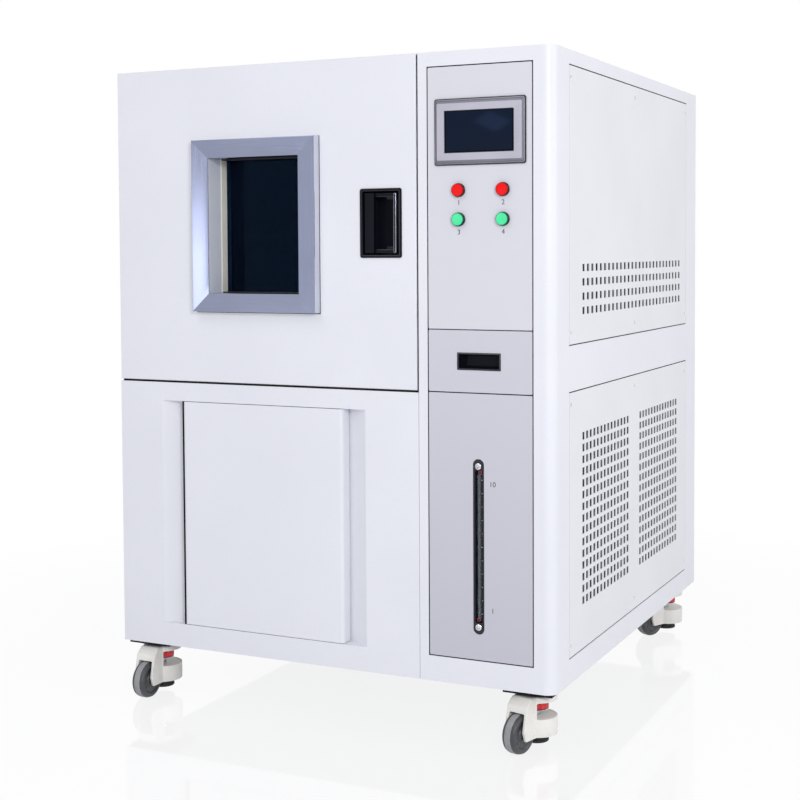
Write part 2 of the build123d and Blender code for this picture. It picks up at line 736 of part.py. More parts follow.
# Evaporator low in the duct: finned tube block standing on the liner floor
coil_y = (baffle_y + 30, liner_back - 30)
coil_x = about(chamber_x, chamber_width - 80)
fin_pitch = 14
with BuildPart() as evaporator:
    for x in coil_x:
        block(about(x, 4), coil_y, (inner_z[0], inner_z[0] + 170))
    for row in range(5):
        for y in (coil_y[0] + 16, coil_y[1] - 16):
            rod((coil_x[0], y, inner_z[0] + 24 + 30 * row), (1, 0, 0), 6, coil_x[1] - coil_x[0])
    fin_count = int((coil_x[1] - coil_x[0]) / fin_pitch) - 1
    with Locations((chamber_x, (coil_y[0] + coil_y[1]) / 2, inner_z[0] + 87)):
        with GridLocations(fin_pitch, 1, fin_count, 1):
            Box(1, coil_y[1] - coil_y[0] - 6, 150)
save(evaporator, "evaporator")

# Heater: sheathed bars above the evaporator, held in two end brackets
heater_z = inner_z[0] + 190
with BuildPart() as heater:
    for x in about(chamber_x, chamber_width - 120):
        block(about(x, 3), (coil_y[0], liner_back - sheet), (heater_z, heater_z + 40))
    for y in (coil_y[0] + 14, coil_y[0] + 34, coil_y[0] + 54):
        rod((chamber_x - chamber_width / 2 + 60, y, heater_z + 20), (1, 0, 0), 4, chamber_width - 120)
save(heater, "heater")

# Wire shelf lying on the liner's ledges
shelf_x = (inner_x[0] + 3, inner_x[1] - 3)
shelf_y = (mouth_y + 40, mouth_y + chamber_depth - 20)
wire = 6
with BuildPart() as shelf:
    for x in (shelf_x[0], shelf_x[1] - wire):
        block((x, x + wire), shelf_y, (ledge_top, ledge_top + wire))
    for y in (shelf_y[0], (shelf_y[0] + shelf_y[1] - wire) / 2, shelf_y[1] - wire):
        block(shelf_x, (y, y + wire), (ledge_top, ledge_top + wire))
    with Locations((chamber_x, (shelf_y[0] + shelf_y[1]) / 2, ledge_top + wire - 1)):
        with GridLocations(24, 1, 20, 1):
            Cylinder(2.4, shelf_y[1] - shelf_y[0], rotation=(90, 0, 0))
save(shelf, "shelf")

# Door: outer skin with openings for the window and the handle
window_place = (left + window_x, bottom + window_z)
reveal = (window_width - 2 * trim_width, window_height - 2 * trim_width)
tube = (reveal[0] + 2 * sheet, reveal[1] + 2 * sheet)
handle_place = (left + handle_x, bottom + handle_z)
pocket = (handle_width - 2 * handle_rim, handle_height - 2 * handle_rim)
box = (pocket[0] + 2 * handle_wall + handle_side_room, pocket[1] + 2 * handle_wall)
door_x = (door_left, door_right)
door_z = (door_bottom, top)
skin_back = door_back - sheet
with BuildPart() as door_shell:
    block(door_x, (front, skin_back), door_z)
    fillet(door_shell.faces().sort_by(Axis.Y)[0].edges(), 2.5)
    block((door_x[0] + sheet, door_x[1] - sheet), (front + sheet, skin_back),
          (door_z[0] + sheet, door_z[1] - sheet), mode=Mode.SUBTRACT)
    block(about(window_place[0], tube[0]), (front, front + sheet), about(window_place[1], tube[1]),
          mode=Mode.SUBTRACT)
    block(about(handle_place[0], box[0]), (front, front + sheet), about(handle_place[1], box[1]),
          mode=Mode.SUBTRACT)
save(door_shell, "door_shell")

# Door insulation, filling the skin round the window and the handle box
with BuildPart() as door_insulation:
    block((door_x[0] + sheet, door_x[1] - sheet), (front + sheet, skin_back),
          (door_z[0] + sheet, door_z[1] - sheet))
    block(about(window_place[0], tube[0]), (front + sheet, skin_back), about(window_place[1], tube[1]),
          mode=Mode.SUBTRACT)
    block(about(handle_place[0], box[0]), (front + sheet, front + handle_depth + handle_wall),
          about(handle_place[1], box[1]), mode=Mode.SUBTRACT)
save(door_insulation, "door_insulation")

# Door inner panel with the raised plug that enters the chamber mouth
plug_x = (inner_x[0] + plug_clearance, inner_x[1] - plug_clearance)
plug_z = (inner_z[0] + plug_clearance, inner_z[1] - plug_clearance)
plug_back = door_back + plug_depth
with BuildPart() as door_inner_panel:
    block(door_x, (skin_back, door_back), door_z)
    block(plug_x, (door_back, plug_back), plug_z)
    fillet(door_inner_panel.faces().sort_by(Axis.Y)[-1].edges(), 3)
    block((plug_x[0] + sheet, plug_x[1] - sheet), (skin_back, plug_back - sheet),
          (plug_z[0] + sheet, plug_z[1] - sheet), mode=Mode.SUBTRACT)
    block(about(window_place[0], tube[0]), (skin_back, plug_back), about(window_place[1], tube[1]),
          mode=Mode.SUBTRACT)
save(door_inner_panel, "door_inner_panel")

# Door gasket: rubber ring round the plug, just clear of the liner's flange
gasket_width = 16
with BuildPart() as door_gasket:
    outer = plug_clearance + gasket_width
    inner = plug_clearance
    block((plug_x[0] - outer, plug_x[1] + outer), (door_back, mouth_y - seat),
          (plug_z[0] - outer, plug_z[1] + outer))
    block((plug_x[0] - inner, plug_x[1] + inner), (door_back, mouth_y),
          (plug_z[0] - inner, plug_z[1] + inner), mode=Mode.SUBTRACT)
save(door_gasket, "door_gasket")

# Window trim: mitred frame sloping towards the glass, with the reveal tube behind it
with BuildPart() as window_frame:
    with BuildSketch(front_plane(front)):
        with Locations(window_place):
            Rectangle(window_width, window_height)
    extrude(amount=trim_depth)
    fillet(window_frame.faces().sort_by(Axis.Y)[0].edges(), 1)
    with BuildSketch(front_plane(front - trim_depth)):
        with Locations(window_place):
            Rectangle(window_width - 3, window_height - 3)
    with BuildSketch(front_plane(front - trim_depth + trim_slope)):
        with Locations(window_place):
            Rectangle(*reveal)
    loft(mode=Mode.SUBTRACT)
    block(about(window_place[0], window_width - 2 * sheet), (front - trim_depth + trim_slope + sheet, front),
          about(window_place[1], window_height - 2 * sheet), mode=Mode.SUBTRACT)
    block(about(window_place[0], tube[0]),
          (front - trim_depth + trim_slope + sheet - 1, front + reveal_depth),
          about(window_place[1], tube[1]))
    block(about(window_place[0], reveal[0]), (front - trim_depth, front + reveal_depth),
          about(window_place[1], reveal[1]), mode=Mode.SUBTRACT)
save(window_frame, "window_frame")

# Window seal: deep ring behind the reveal, and the panes it holds
seal_y = (front + reveal_depth, plug_back - sheet)
clear_view = (tube[0] - 2 * seal_width, tube[1] - 2 * seal_width)
with BuildPart() as window_seal:
    block(about(window_place[0], tube[0]), seal_y, about(window_place[1], tube[1]))
    block(about(window_place[0], clear_view[0]), seal_y, about(window_place[1], clear_view[1]),
          mode=Mode.SUBTRACT)
save(window_seal, "window_seal")

pane_y = [front + first_pane + pane_pitch * index for index in range(pane_count)]
with BuildPart() as window_glass:
    for y in pane_y:
        block(about(window_place[0], clear_view[0] - 2 * pane_clear), (y, y + pane_thickness),
              about(window_place[1], clear_view[1] - 2 * pane_clear))
save(window_glass, "window_glass")

# Handle housing: flange on the door skin and the pocket behind it
lever_pivot = (handle_place[0] - handle_width / 2 + lever_in, front + lever_back)
lever_half = pocket[1] / 2 - lever_clear
with BuildPart() as handle_housing:
    with BuildSketch(front_plane(front)) as flange_face:
        with Locations(handle_place):
            Rectangle(handle_width, handle_height)
        fillet(flange_face.vertices(), 5)
    extrude(amount=handle_flange)
    fillet(handle_housing.faces().sort_by(Axis.Y)[0].edges(), 1.2)
    block(about(handle_place[0], box[0]), (front, front + handle_depth + handle_wall),
          about(handle_place[1], box[1]))
    block(about(handle_place[0], box[0] - 2 * handle_wall), (front, front + handle_depth),
          about(handle_place[1], pocket[1]), mode=Mode.SUBTRACT)
    block(about(handle_place[0], pocket[0]), (front - handle_flange, front),
          about(handle_place[1], pocket[1]), mode=Mode.SUBTRACT)
    for z in (handle_place[1] - pocket[1] / 2, handle_place[1] + lever_half - lever_pin_length):
        rod((*lever_pivot, z), (0, 0, 1), lever_pin_radius, pocket[1] / 2 - lever_half + lever_pin_length)
save(handle_housing, "handle_housing")

# Handle lever: pad over the pivot, two arms and the upright grip bar
pad_x = (handle_place[0] - pocket[0] / 2 + 2, handle_place[0] - pocket[0] / 2 + 2 + pad_width)
grip_x = (handle_place[0] + pocket[0] / 2 - 7 - grip_width, handle_place[0] + pocket[0] / 2 - 7)
with BuildPart() as handle_lever:
    block(pad_x, (front - 1, front + 3), about(handle_place[1], 2 * lever_half))
    block(about(lever_pivot[0], 14), (front + 3, lever_pivot[1] + 7), about(handle_place[1], 2 * lever_half))
    block(grip_x, (front - 1, front + 9), about(handle_place[1], 2 * lever_half))
    for z in (handle_place[1] - lever_half, handle_place[1] + lever_half - 8):
        block((lever_pivot[0] + 7, grip_x[1]), (front + 5, front + 15), (z, z + 8))
    for z in (handle_place[1] - lever_half, handle_place[1] + lever_half - lever_pin_length):
        rod((*lever_pivot, z), (0, 0, 1), lever_pin_radius + running, lever_pin_length, mode=Mode.SUBTRACT)
    fillet(handle_lever.edges().filter_by(Axis.Z).filter_by(
        lambda edge: edge.center().Y < front and edge.length > lever_half), 0.9)
save(handle_lever, "handle_lever")

# Door hinges: moving leaves with the middle knuckle, fixed leaves with two knuckles and the pin
hinge_z = (door_bottom + hinge_inset, top - hinge_inset)
third = leaf_height / 3
leaf_x = (left - leaf_thickness, left)
middle_knuckle = third - 2 * seat
with BuildPart() as door_hinge_leaves:
    for z in hinge_z:
        block(leaf_x, (pivot_y - leaf_width, pivot_y - 2), about(z, middle_knuckle))
        block(leaf_x, (pivot_y - leaf_width, pivot_y - knuckle_radius - 1), about(z, leaf_height))
        rod((pivot_x, pivot_y, z - middle_knuckle / 2), (0, 0, 1), knuckle_radius, middle_knuckle)
        rod((pivot_x, pivot_y, z - middle_knuckle / 2), (0, 0, 1), pin_radius + running, middle_knuckle,
            mode=Mode.SUBTRACT)
save(door_hinge_leaves, "door_hinge_leaves")

with BuildPart() as cabinet_hinge_leaves:
    for z in hinge_z:
        for low in (z - leaf_height / 2, z + third / 2):
            block(leaf_x, (pivot_y + gasket_gap, pivot_y + leaf_width), (low, low + third))
            block((leaf_x[0] - 2, leaf_x[0] + 1), (pivot_y, pivot_y + gasket_gap + 4), (low, low + third))
            rod((pivot_x, pivot_y, low), (0, 0, 1), knuckle_radius, third)
        block(leaf_x, (pivot_y + knuckle_radius + 2, pivot_y + leaf_width), about(z, leaf_height))
        rod((pivot_x, pivot_y, z - leaf_height / 2 - 3), (0, 0, 1), pin_radius, leaf_height + 6)
save(cabinet_hinge_leaves, "cabinet_hinge_leaves")

# Compressor standing on the base tray
deck_z = bottom + base_wall
compressor_x = left + compressor_in
compressor_y = front + machine_back
with BuildPart() as compressor:
    foot_size = 2 * compressor_radius + 40
    block(about(compressor_x, foot_size), about(compressor_y, foot_size), (deck_z, deck_z + 16))
    rod((compressor_x, compressor_y, deck_z + 16), (0, 0, 1), compressor_radius, compressor_height)
    fillet(compressor.faces().sort_by(Axis.Z)[-1].edges(), compressor_radius / 2)
    rod((compressor_x, compressor_y, deck_z + 0.6 * compressor_height), (1, 0, 0), 10, compressor_radius + 40)
    rod((compressor_x, compressor_y, deck_z + 0.4 * compressor_height), (0, -1, 0), 8, compressor_radius + 40)
save(compressor, "compressor")

# Condenser behind the lower side panel, with its fan ring and motor bridge
condenser_x = (right - 60 - condenser_thickness, right - 60)
condenser_y = about(front + machine_back, condenser_length)
condenser_z = (deck_z, deck_z + condenser_height)
hub_place = (front + machine_back, deck_z + condenser_rise)
bridge_x = condenser_x[0] - 90
with BuildPart() as condenser:
    for y in (condenser_y[0], condenser_y[1] - 3):
        block(condenser_x, (y, y + 3), condenser_z)
    for row in range(7):
        z = condenser_z[0] + 50 + 50 * row
        block((condenser_x[0] + 20, condenser_x[1] - 20), condenser_y, (z, z + 10))
    with Locations((sum(condenser_x) / 2, sum(condenser_y) / 2, sum(condenser_z) / 2 + 5)):
        with GridLocations(1, 16, 1, int(condenser_length / 16) - 1):
            Box(condenser_thickness - 10, 1, condenser_height - 20)
    block((condenser_x[0] - 3, condenser_x[0]), condenser_y, condenser_z)
    rod((condenser_x[0] - 3, *hub_place), (1, 0, 0), ring_radius, 3, mode=Mode.SUBTRACT)
    for y in (condenser_y[0], condenser_y[1] - 20):
        block((bridge_x, condenser_x[0] - 3), (y, y + 20), about(hub_place[1], 24))
    block((bridge_x - 6, bridge_x), condenser_y, about(hub_place[1], 24))
    rod((bridge_x - 60, *hub_place), (1, 0, 0), 42, 80)
    rod((bridge_x - 10, *hub_place), (1, 0, 0), condenser_shaft + running, 40, mode=Mode.SUBTRACT)
save(condenser, "condenser")

# Condenser fan: hub, shaft and five pitched blades
with BuildPart() as condenser_fan:
    rod((condenser_x[0] - 60, *hub_place), (1, 0, 0), 34, 40)
    rod((bridge_x - 6, *hub_place), (1, 0, 0), condenser_shaft, 50)
    for index in range(5):
        with Locations(Location((condenser_x[0] - 40, *hub_place), (72 * index, 0, 0))):
            with Locations(Location((0, 0, ring_radius / 2 + 7.5), (0, 0, blade_pitch))):
                Box(3, 64, ring_radius - 35)
save(condenser_fan, "condenser_fan")

# Casters: swivel axis under each corner, the wheels trailing to the front at slightly different turns
axis_x = (left + caster_inset, right - caster_inset)
axis_y = (front + caster_inset, back - caster_inset)
caster_places = {
    "front_left": (axis_x[0], axis_y[0]),
    "front_right": (axis_x[1], axis_y[0]),
    "rear_left": (axis_x[0], axis_y[1]),
    "rear_right": (axis_x[1], axis_y[1]),
}
housing_top = caster_height - plate_thickness - race_height - swivel_gap
cheek_inner = wheel_width / 2 + fork_gap
cheek_outer = cheek_inner + cheek_thickness
well_radius = wheel_radius + 3
foot_height = 14
barrel_floor = foot_lift + foot_height + 4
window_span = (68, housing_top - king_length - 1.6)
thumb_z = (window_span[1] - 4 - thumb_height, window_span[1] - 4)

with BuildPart() as caster_plates:
    for x, y in caster_places.values():
        block(about(x, plate_size), about(y, plate_size), (caster_height - plate_thickness, caster_height))
        rod((x, y, caster_height - plate_thickness - race_height), (0, 0, 1), race_radius, race_height + 1)
        rod((x, y, caster_height - plate_thickness - race_height - king_length), (0, 0, 1), king_radius,
            king_length + 2)
save(caster_plates, "caster_plates")

# Caster pieces, built once with the swivel axis through the origin
axle_y = -wheel_trail
with BuildPart() as housing:
    with BuildSketch(Plane.XY.offset(barrel_floor)):
        Circle(barrel_outer)
    extrude(amount=housing_top - barrel_floor)
    with BuildSketch(Plane.YZ.offset(-cheek_outer)):
        with BuildLine():
            Polyline(
                (0, barrel_floor),
                (0, housing_top),
                (-52, housing_top),
                (-70, housing_top - 16),
                (axle_y - 15, wheel_radius + 8),
                (axle_y - 8, wheel_radius - 12),
                (axle_y + 8, wheel_radius - 12),
                (-24, barrel_floor),
                close=True,
            )
        make_face()
    extrude(amount=2 * cheek_outer)
    fillet(housing.faces().sort_by(Axis.Z)[-1].edges(), 5)
    rod((-cheek_inner, axle_y, wheel_radius), (1, 0, 0), well_radius, 2 * cheek_inner, mode=Mode.SUBTRACT)
    block(about(0, 2 * cheek_inner), (axle_y - well_radius, axle_y + 20), (0, wheel_radius),
          mode=Mode.SUBTRACT)
    block(about(0, 2 * barrel_outer), (-window_in, barrel_outer), window_span, mode=Mode.SUBTRACT)
    rod((0, 0, barrel_floor), (0, 0, 1), stud_radius + running, window_span[0] - barrel_floor,
        mode=Mode.SUBTRACT)
    rod((0, 0, window_span[1]), (0, 0, 1), king_radius + running, housing_top - window_span[1],
        mode=Mode.SUBTRACT)
    rod((-cheek_outer, axle_y, wheel_radius), (1, 0, 0), axle_radius, 2 * cheek_outer)

with BuildPart() as wheel:
    with BuildSketch(Plane.XZ.offset(-axle_y)):
        with BuildLine():
            half = wheel_width / 2
            Polyline(
                (-half, wheel_radius + axle_radius + running),
                (-half, wheel_radius + 16),
                (4 - half, wheel_radius + 19),
                (4 - half, wheel_radius + 28),
                (-half, wheel_radius + 31),
                (-half, 2 * wheel_radius - tread_chamfer),
                (tread_chamfer - half, 2 * wheel_radius),
                (half - tread_chamfer, 2 * wheel_radius),
                (half, 2 * wheel_radius - tread_chamfer),
                (half, wheel_radius + 31),
                (half - 4, wheel_radius + 28),
                (half - 4, wheel_radius + 19),
                (half, wheel_radius + 16),
                (half, wheel_radius + axle_radius + running),
                close=True,
            )
        make_face()
    revolve(axis=Axis((0, axle_y, wheel_radius), (1, 0, 0)))

with BuildPart() as foot:
    with BuildSketch(Plane.XY.offset(foot_lift)):
        Circle(foot_radius)
    extrude(amount=foot_height, taper=14)
    rod((0, 0, foot_lift + 2), (0, 0, 1), stud_radius, thumb_z[0] - foot_lift)
    with BuildSketch(Plane.XY.offset(thumb_z[0])):
        Circle(thumb_radius)
        with PolarLocations(thumb_radius + 1.5, 14):
            Circle(4, mode=Mode.SUBTRACT)
    extrude(amount=thumb_height)

for name, (x, y) in caster_places.items():
    standing = Location((x, y, 0), (0, 0, caster_turn[name]))
    save(housing, f"caster_housing_{name}", standing)
    save(wheel, f"caster_wheel_{name}", standing)
    save(foot, f"levelling_foot_{name}", standing)
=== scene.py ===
"""Looks of the environmental test chamber: finishes, detailed fittings, light and camera.

Metres. +Z is up and the door faces -Y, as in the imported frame.
"""
import json
import math

import bmesh
import bpy
from mathutils import Matrix, Vector


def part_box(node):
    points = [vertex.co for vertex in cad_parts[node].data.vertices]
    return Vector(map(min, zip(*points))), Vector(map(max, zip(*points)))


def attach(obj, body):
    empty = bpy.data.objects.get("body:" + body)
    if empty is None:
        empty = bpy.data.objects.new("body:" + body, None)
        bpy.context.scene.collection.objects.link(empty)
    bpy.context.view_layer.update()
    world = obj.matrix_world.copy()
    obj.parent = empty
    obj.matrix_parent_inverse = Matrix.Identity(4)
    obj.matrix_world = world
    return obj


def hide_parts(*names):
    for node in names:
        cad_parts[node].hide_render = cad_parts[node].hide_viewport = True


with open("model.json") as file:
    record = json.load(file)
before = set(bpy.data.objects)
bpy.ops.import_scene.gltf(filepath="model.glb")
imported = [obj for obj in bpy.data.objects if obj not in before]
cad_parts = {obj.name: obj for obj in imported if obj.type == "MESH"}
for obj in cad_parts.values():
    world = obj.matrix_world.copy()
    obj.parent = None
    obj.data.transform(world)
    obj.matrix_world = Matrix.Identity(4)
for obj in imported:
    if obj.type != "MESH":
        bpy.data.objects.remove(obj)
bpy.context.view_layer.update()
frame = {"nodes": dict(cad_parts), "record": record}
MM = 0.001


# Camera

cabinet_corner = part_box("lower_front_panel")[0]
camera_offset = Vector((2090.98, -2833.94, 930.47)) * MM
camera_right = Vector((0.902077, 0.431542, -0.005383))
camera_up = Vector((-0.014812, 0.043424, 0.998947))
camera_back = Vector((0.431321, -0.901047, 0.045564))
camera_data = bpy.data.cameras.new("photo_camera")
camera_data.lens = 65.76
camera_data.sensor_width = 36
camera_data.shift_y = -0.106
camera_data.clip_end = 60
camera = bpy.data.objects.new("photo_camera", camera_data)
bpy.context.scene.collection.objects.link(camera)
turn = Matrix((camera_right, camera_up, camera_back)).transposed().to_4x4()
camera.matrix_world = Matrix.Translation(cabinet_corner + camera_offset) @ turn
bpy.context.scene.camera = camera


# Nodes of the materials

def linear(colour):
    """Linear colour of an sRGB hex value."""
    parts = [int(colour[i:i + 2], 16) / 255 for i in (1, 3, 5)]
    return [p / 12.92 if p <= 0.04045 else ((p + 0.055) / 1.055) ** 2.4 for p in parts] + [1.0]


def add(tree, kind, inputs=None, links=None, **settings):
    """Adds a node with its settings, its input values and its links."""
    node = tree.nodes.new(kind)
    for key, value in settings.items():
        setattr(node, key, value)
    for key, value in (inputs or {}).items():
        node.inputs[key].default_value = value
    for key, source in (links or {}).items():
        tree.links.new(source, node.inputs[key])
    return node


def new_material(name):
    """An empty node material and the tree to fill."""
    material = bpy.data.materials.new(name)
    material.use_nodes = True
    material.node_tree.nodes.clear()
    return material, material.node_tree


def surface(name, pale, dark, grain, rough, relief, stretch=(1, 1, 1), cloud=250, **shader):
    """One fine grain drives the colour, the roughness and the relief of a surface.

    grain and cloud are sizes in mm, relief is the height of the grain in mm, stretch draws the grain
    out along an axis, and rough holds the lowest and the highest roughness.
    """
    material, tree = new_material(name)
    place = add(tree, "ShaderNodeTexCoord").outputs["Object"]
    drawn = add(tree, "ShaderNodeMapping", {"Scale": stretch}, {"Vector": place}).outputs["Vector"]
    fine = add(tree, "ShaderNodeTexNoise", {"Scale": 1000 / grain, "Detail": 3, "Roughness": 0.6},
               {"Vector": drawn}).outputs["Fac"]
    broad = add(tree, "ShaderNodeTexNoise", {"Scale": 1000 / cloud, "Detail": 2},
                {"Vector": place}).outputs["Fac"]
    both = add(tree, "ShaderNodeMath", None, {0: fine, 1: broad}, operation="MULTIPLY")
    spread = add(tree, "ShaderNodeMapRange", {"From Min": 0.12, "From Max": 0.38}, {"Value": both.outputs[0]})
    tint = add(tree, "ShaderNodeMix", {6: linear(dark), 7: linear(pale)}, {0: spread.outputs[0]},
               data_type="RGBA")
    gloss = add(tree, "ShaderNodeMapRange", {"From Min": 0.3, "From Max": 0.7, "To Min": rough[0],
                                             "To Max": rough[1]}, {"Value": fine})
    bump = add(tree, "ShaderNodeBump", {"Strength": 1.0, "Distance": relief * MM}, {"Height": fine})
    skin = add(tree, "ShaderNodeBsdfPrincipled", shader,
               {"Base Color": tint.outputs[2], "Roughness": gloss.outputs[0], "Normal": bump.outputs[0]})
    add(tree, "ShaderNodeOutputMaterial", None, {"Surface": skin.outputs[0]})
    return material


# Polyester powder coat, sprayed and baked: an even orange peel, a little sheen, hardly any change of colour
white_coat = surface("polyester_powder_coat_white", "#edeef3", "#e8e9ef", 2.4, (0.34, 0.44), 0.012,
                     **{"Specular IOR Level": 0.4})

# The same coat on the loose panels of the side, painted a touch darker and less blue as the shade that the
# side lies in
side_shaded_coat = surface("polyester_powder_coat_side_shaded", "#ecedf0", "#e6e7eb", 2.4, (0.36, 0.46), 0.012,
                     **{"Specular IOR Level": 0.4})

# Stainless steel, brushed with a 240 grit belt: fine streaks along the length of each strip.
# The streaks are drawn 1.2 mm wide, coarser than real, so that they show.
steel = {"Metallic": 1.0}
steel_level = surface("stainless_steel_brushed_level", "#949ab2", "#8b91a9", 1.2, (0.14, 0.22), 0.003,
                      stretch=(0.012, 1, 1), cloud=140, **steel)
steel_upright = surface("stainless_steel_brushed_upright", "#949ab2", "#8b91a9", 1.2, (0.14, 0.22), 0.003,
                        stretch=(1, 1, 0.012), cloud=140, **steel)
# The outer flange of the trim, its steel painted brighter than its face as the light that the side catches
steel_flange_lit = surface("stainless_steel_flange_painted_light", "#dcdee8", "#d0d2dc", 2, (0.10, 0.18), 0.002,
                         cloud=80, **steel)
# The steel at the sides of the reveal, dulled matt, its colour painted near-white as the light these walls
# catch: it scatters light like a pale grey paint
reveal_steel_painted_pale = surface("stainless_steel_reveal_painted_pale", "#eef2fb", "#e2e7f2", 0.8, (0.5, 0.6), 0.02, cloud=90,
                        **{"Metallic": 0.1})

# Stainless steel, cold rolled and dull: cloudy, with no streaks
steel_rolled = surface("stainless_steel_rolled", "#b9bcc6", "#a2a5b0", 4, (0.24, 0.36), 0.006, cloud=60,
                       **steel)

# Zinc-plated steel, bright dipped: small bright screws
zinc = surface("zinc_plated_steel", "#dcdde2", "#b9bbc2", 1.0, (0.14, 0.26), 0.004, cloud=12, **steel)

# Galvanised steel, hot dipped: dull blue-grey with flakes of spangle
galvanised = surface("galvanised_steel", "#9da3a8", "#7d8389", 9, (0.38, 0.55), 0.004, cloud=30, **steel)

# Coil fins and fan, painted black as the shade inside the machine: the inside reads dark through the slots
shaded_black_fins = surface("fins_painted_shade_black", "#1d1e22", "#131417", 3, (0.5, 0.65), 0.01, cloud=40)

# Dark matt steel sheet, painted near-black as the shade inside the machine bay
bay_painted_shade = surface("machine_bay_painted_shade", "#222327", "#17181b", 6, (0.7, 0.85), 0.05, cloud=90)

# Aluminium, rolled and left bare: fan wheel and motor shell
aluminium = surface("aluminium_mill_finish", "#c2c4c8", "#a4a6ab", 2, (0.28, 0.42), 0.006, cloud=50, **steel)

# Glass-filled nylon, moulded black: a fine spark-eroded grain that breaks up the shine
black_nylon = surface("nylon_moulded_black", "#13151f", "#0d0f17", 1.0, (0.36, 0.52), 0.02,
                      **{"Specular IOR Level": 0.1})

# The same nylon where it is polished by the tool, glossier along its rims
gloss_nylon = surface("nylon_moulded_black_polished", "#1a1c26", "#12131a", 1.2, (0.16, 0.28), 0.006,
                      **{"Specular IOR Level": 0.4})

# Grip of the handle, satin chrome over ABS
grip_chrome = surface("abs_satin_chromed", "#8b8c99", "#72737f", 1.0, (0.22, 0.34), 0.004, cloud=40, **steel)

# ABS, moulded and sprayed silver: front of the touch screen
silver_abs = surface("abs_sprayed_silver", "#bdbbc6", "#b2b0bc", 1.2, (0.34, 0.46), 0.006, cloud=80,
                     **{"Metallic": 0.15})

# The same ABS on the sloping edge, painted darker as the shade that the slope turns into
shaded_silver_edge = surface("abs_sprayed_silver_painted_shade", "#83828e", "#777682", 1.2, (0.34, 0.46), 0.006, cloud=80,
                      **{"Metallic": 0.15})

# Nylon, moulded cream: the housings of the casters, smooth and slightly waxy
cream_nylon = surface("nylon_moulded_cream", "#f3f1ec", "#e9e6de", 1.5, (0.30, 0.42), 0.01, cloud=40,
                      **{"Subsurface Weight": 0.08, "Subsurface Radius": (0.004, 0.003, 0.002),
                         "Subsurface Scale": 1.0})

# Polyurethane, moulded grey: the tread of the wheels
tread = surface("polyurethane_tread_grey", "#a3a3a5", "#8d8d90", 1.5, (0.45, 0.6), 0.02, cloud=20)

# Nylon, moulded dark grey: the sides of the wheels
wheel_side = surface("nylon_moulded_dark_grey", "#4c4d50", "#38393c", 1.2, (0.34, 0.5), 0.02, cloud=20)

# Rubber, moulded black: the pads of the feet and the door's gasket
black_rubber = surface("rubber_moulded_black", "#26272b", "#1a1b1e", 1.0, (0.6, 0.8), 0.03, cloud=20)

# Black strips set in the seams, painted flat and lightless as the shade in the gaps
seam_shade_black = surface("seam_painted_shade_black", "#15151a", "#0e0e12", 1.0, (0.7, 0.85), 0.02, cloud=20,
                      **{"Specular IOR Level": 0.2})

# Polyester felt behind the slots, black as painted shade: it swallows nearly all the light, as the machine's
# shaded inside would
slot_shade_felt = surface("filter_felt_painted_shade", "#121214", "#0a0a0c", 3, (0.85, 0.95), 0.2, cloud=40,
                     **{"Specular IOR Level": 0.1})

# Silicone, cast off-white: the ring round the panes
white_silicone = surface("silicone_cast_white", "#efece2", "#e4e0d4", 1.5, (0.4, 0.55), 0.01, cloud=40)

# Nylon, moulded red: the thumbwheels
red_nylon = surface("nylon_moulded_red", "#e0353c", "#c4242c", 1.2, (0.28, 0.4), 0.01, cloud=20)

# Polycarbonate, moulded in clear colours: the centres of the buttons, and their rims painted darker as the
# shade on their rounded edge
matt = {"Specular IOR Level": 0.2}
red_lens = surface("polycarbonate_red", "#fb0f14", "#f0060c", 2, (0.3, 0.4), 0.002, cloud=15, **matt)
red_shaded_rim = surface("polycarbonate_red_painted_shade", "#a50d14", "#8c0910", 2, (0.3, 0.4), 0.002, cloud=15, **matt)
green_lens = surface("polycarbonate_green", "#5df5ac", "#4fe9a0", 2, (0.3, 0.4), 0.002, cloud=15, **matt)
green_shaded_rim = surface("polycarbonate_green_painted_shade", "#1d7d5c", "#14664a", 2, (0.3, 0.4), 0.002, cloud=15, **matt)

# Polyethylene, moulded natural: the drawer's tray, milky
polyethylene = surface("polyethylene_moulded", "#8f9596", "#7d8384", 3, (0.35, 0.5), 0.01, cloud=80)

# Enamel, sprayed black over steel: the compressor's shell
black_enamel = surface("enamel_black", "#1a1a1c", "#101012", 3, (0.25, 0.4), 0.01, cloud=60)

# Screen-printed ink on the fascia
ink = surface("screen_ink_black", "#26262c", "#1c1c22", 1, (0.5, 0.6), 0.002)

# Mineral wool, felted: matted yellow fibres
wool = surface("mineral_wool_felt", "#d9cc93", "#b9a969", 5, (0.85, 0.95), 0.8, stretch=(1, 1, 4), cloud=40)


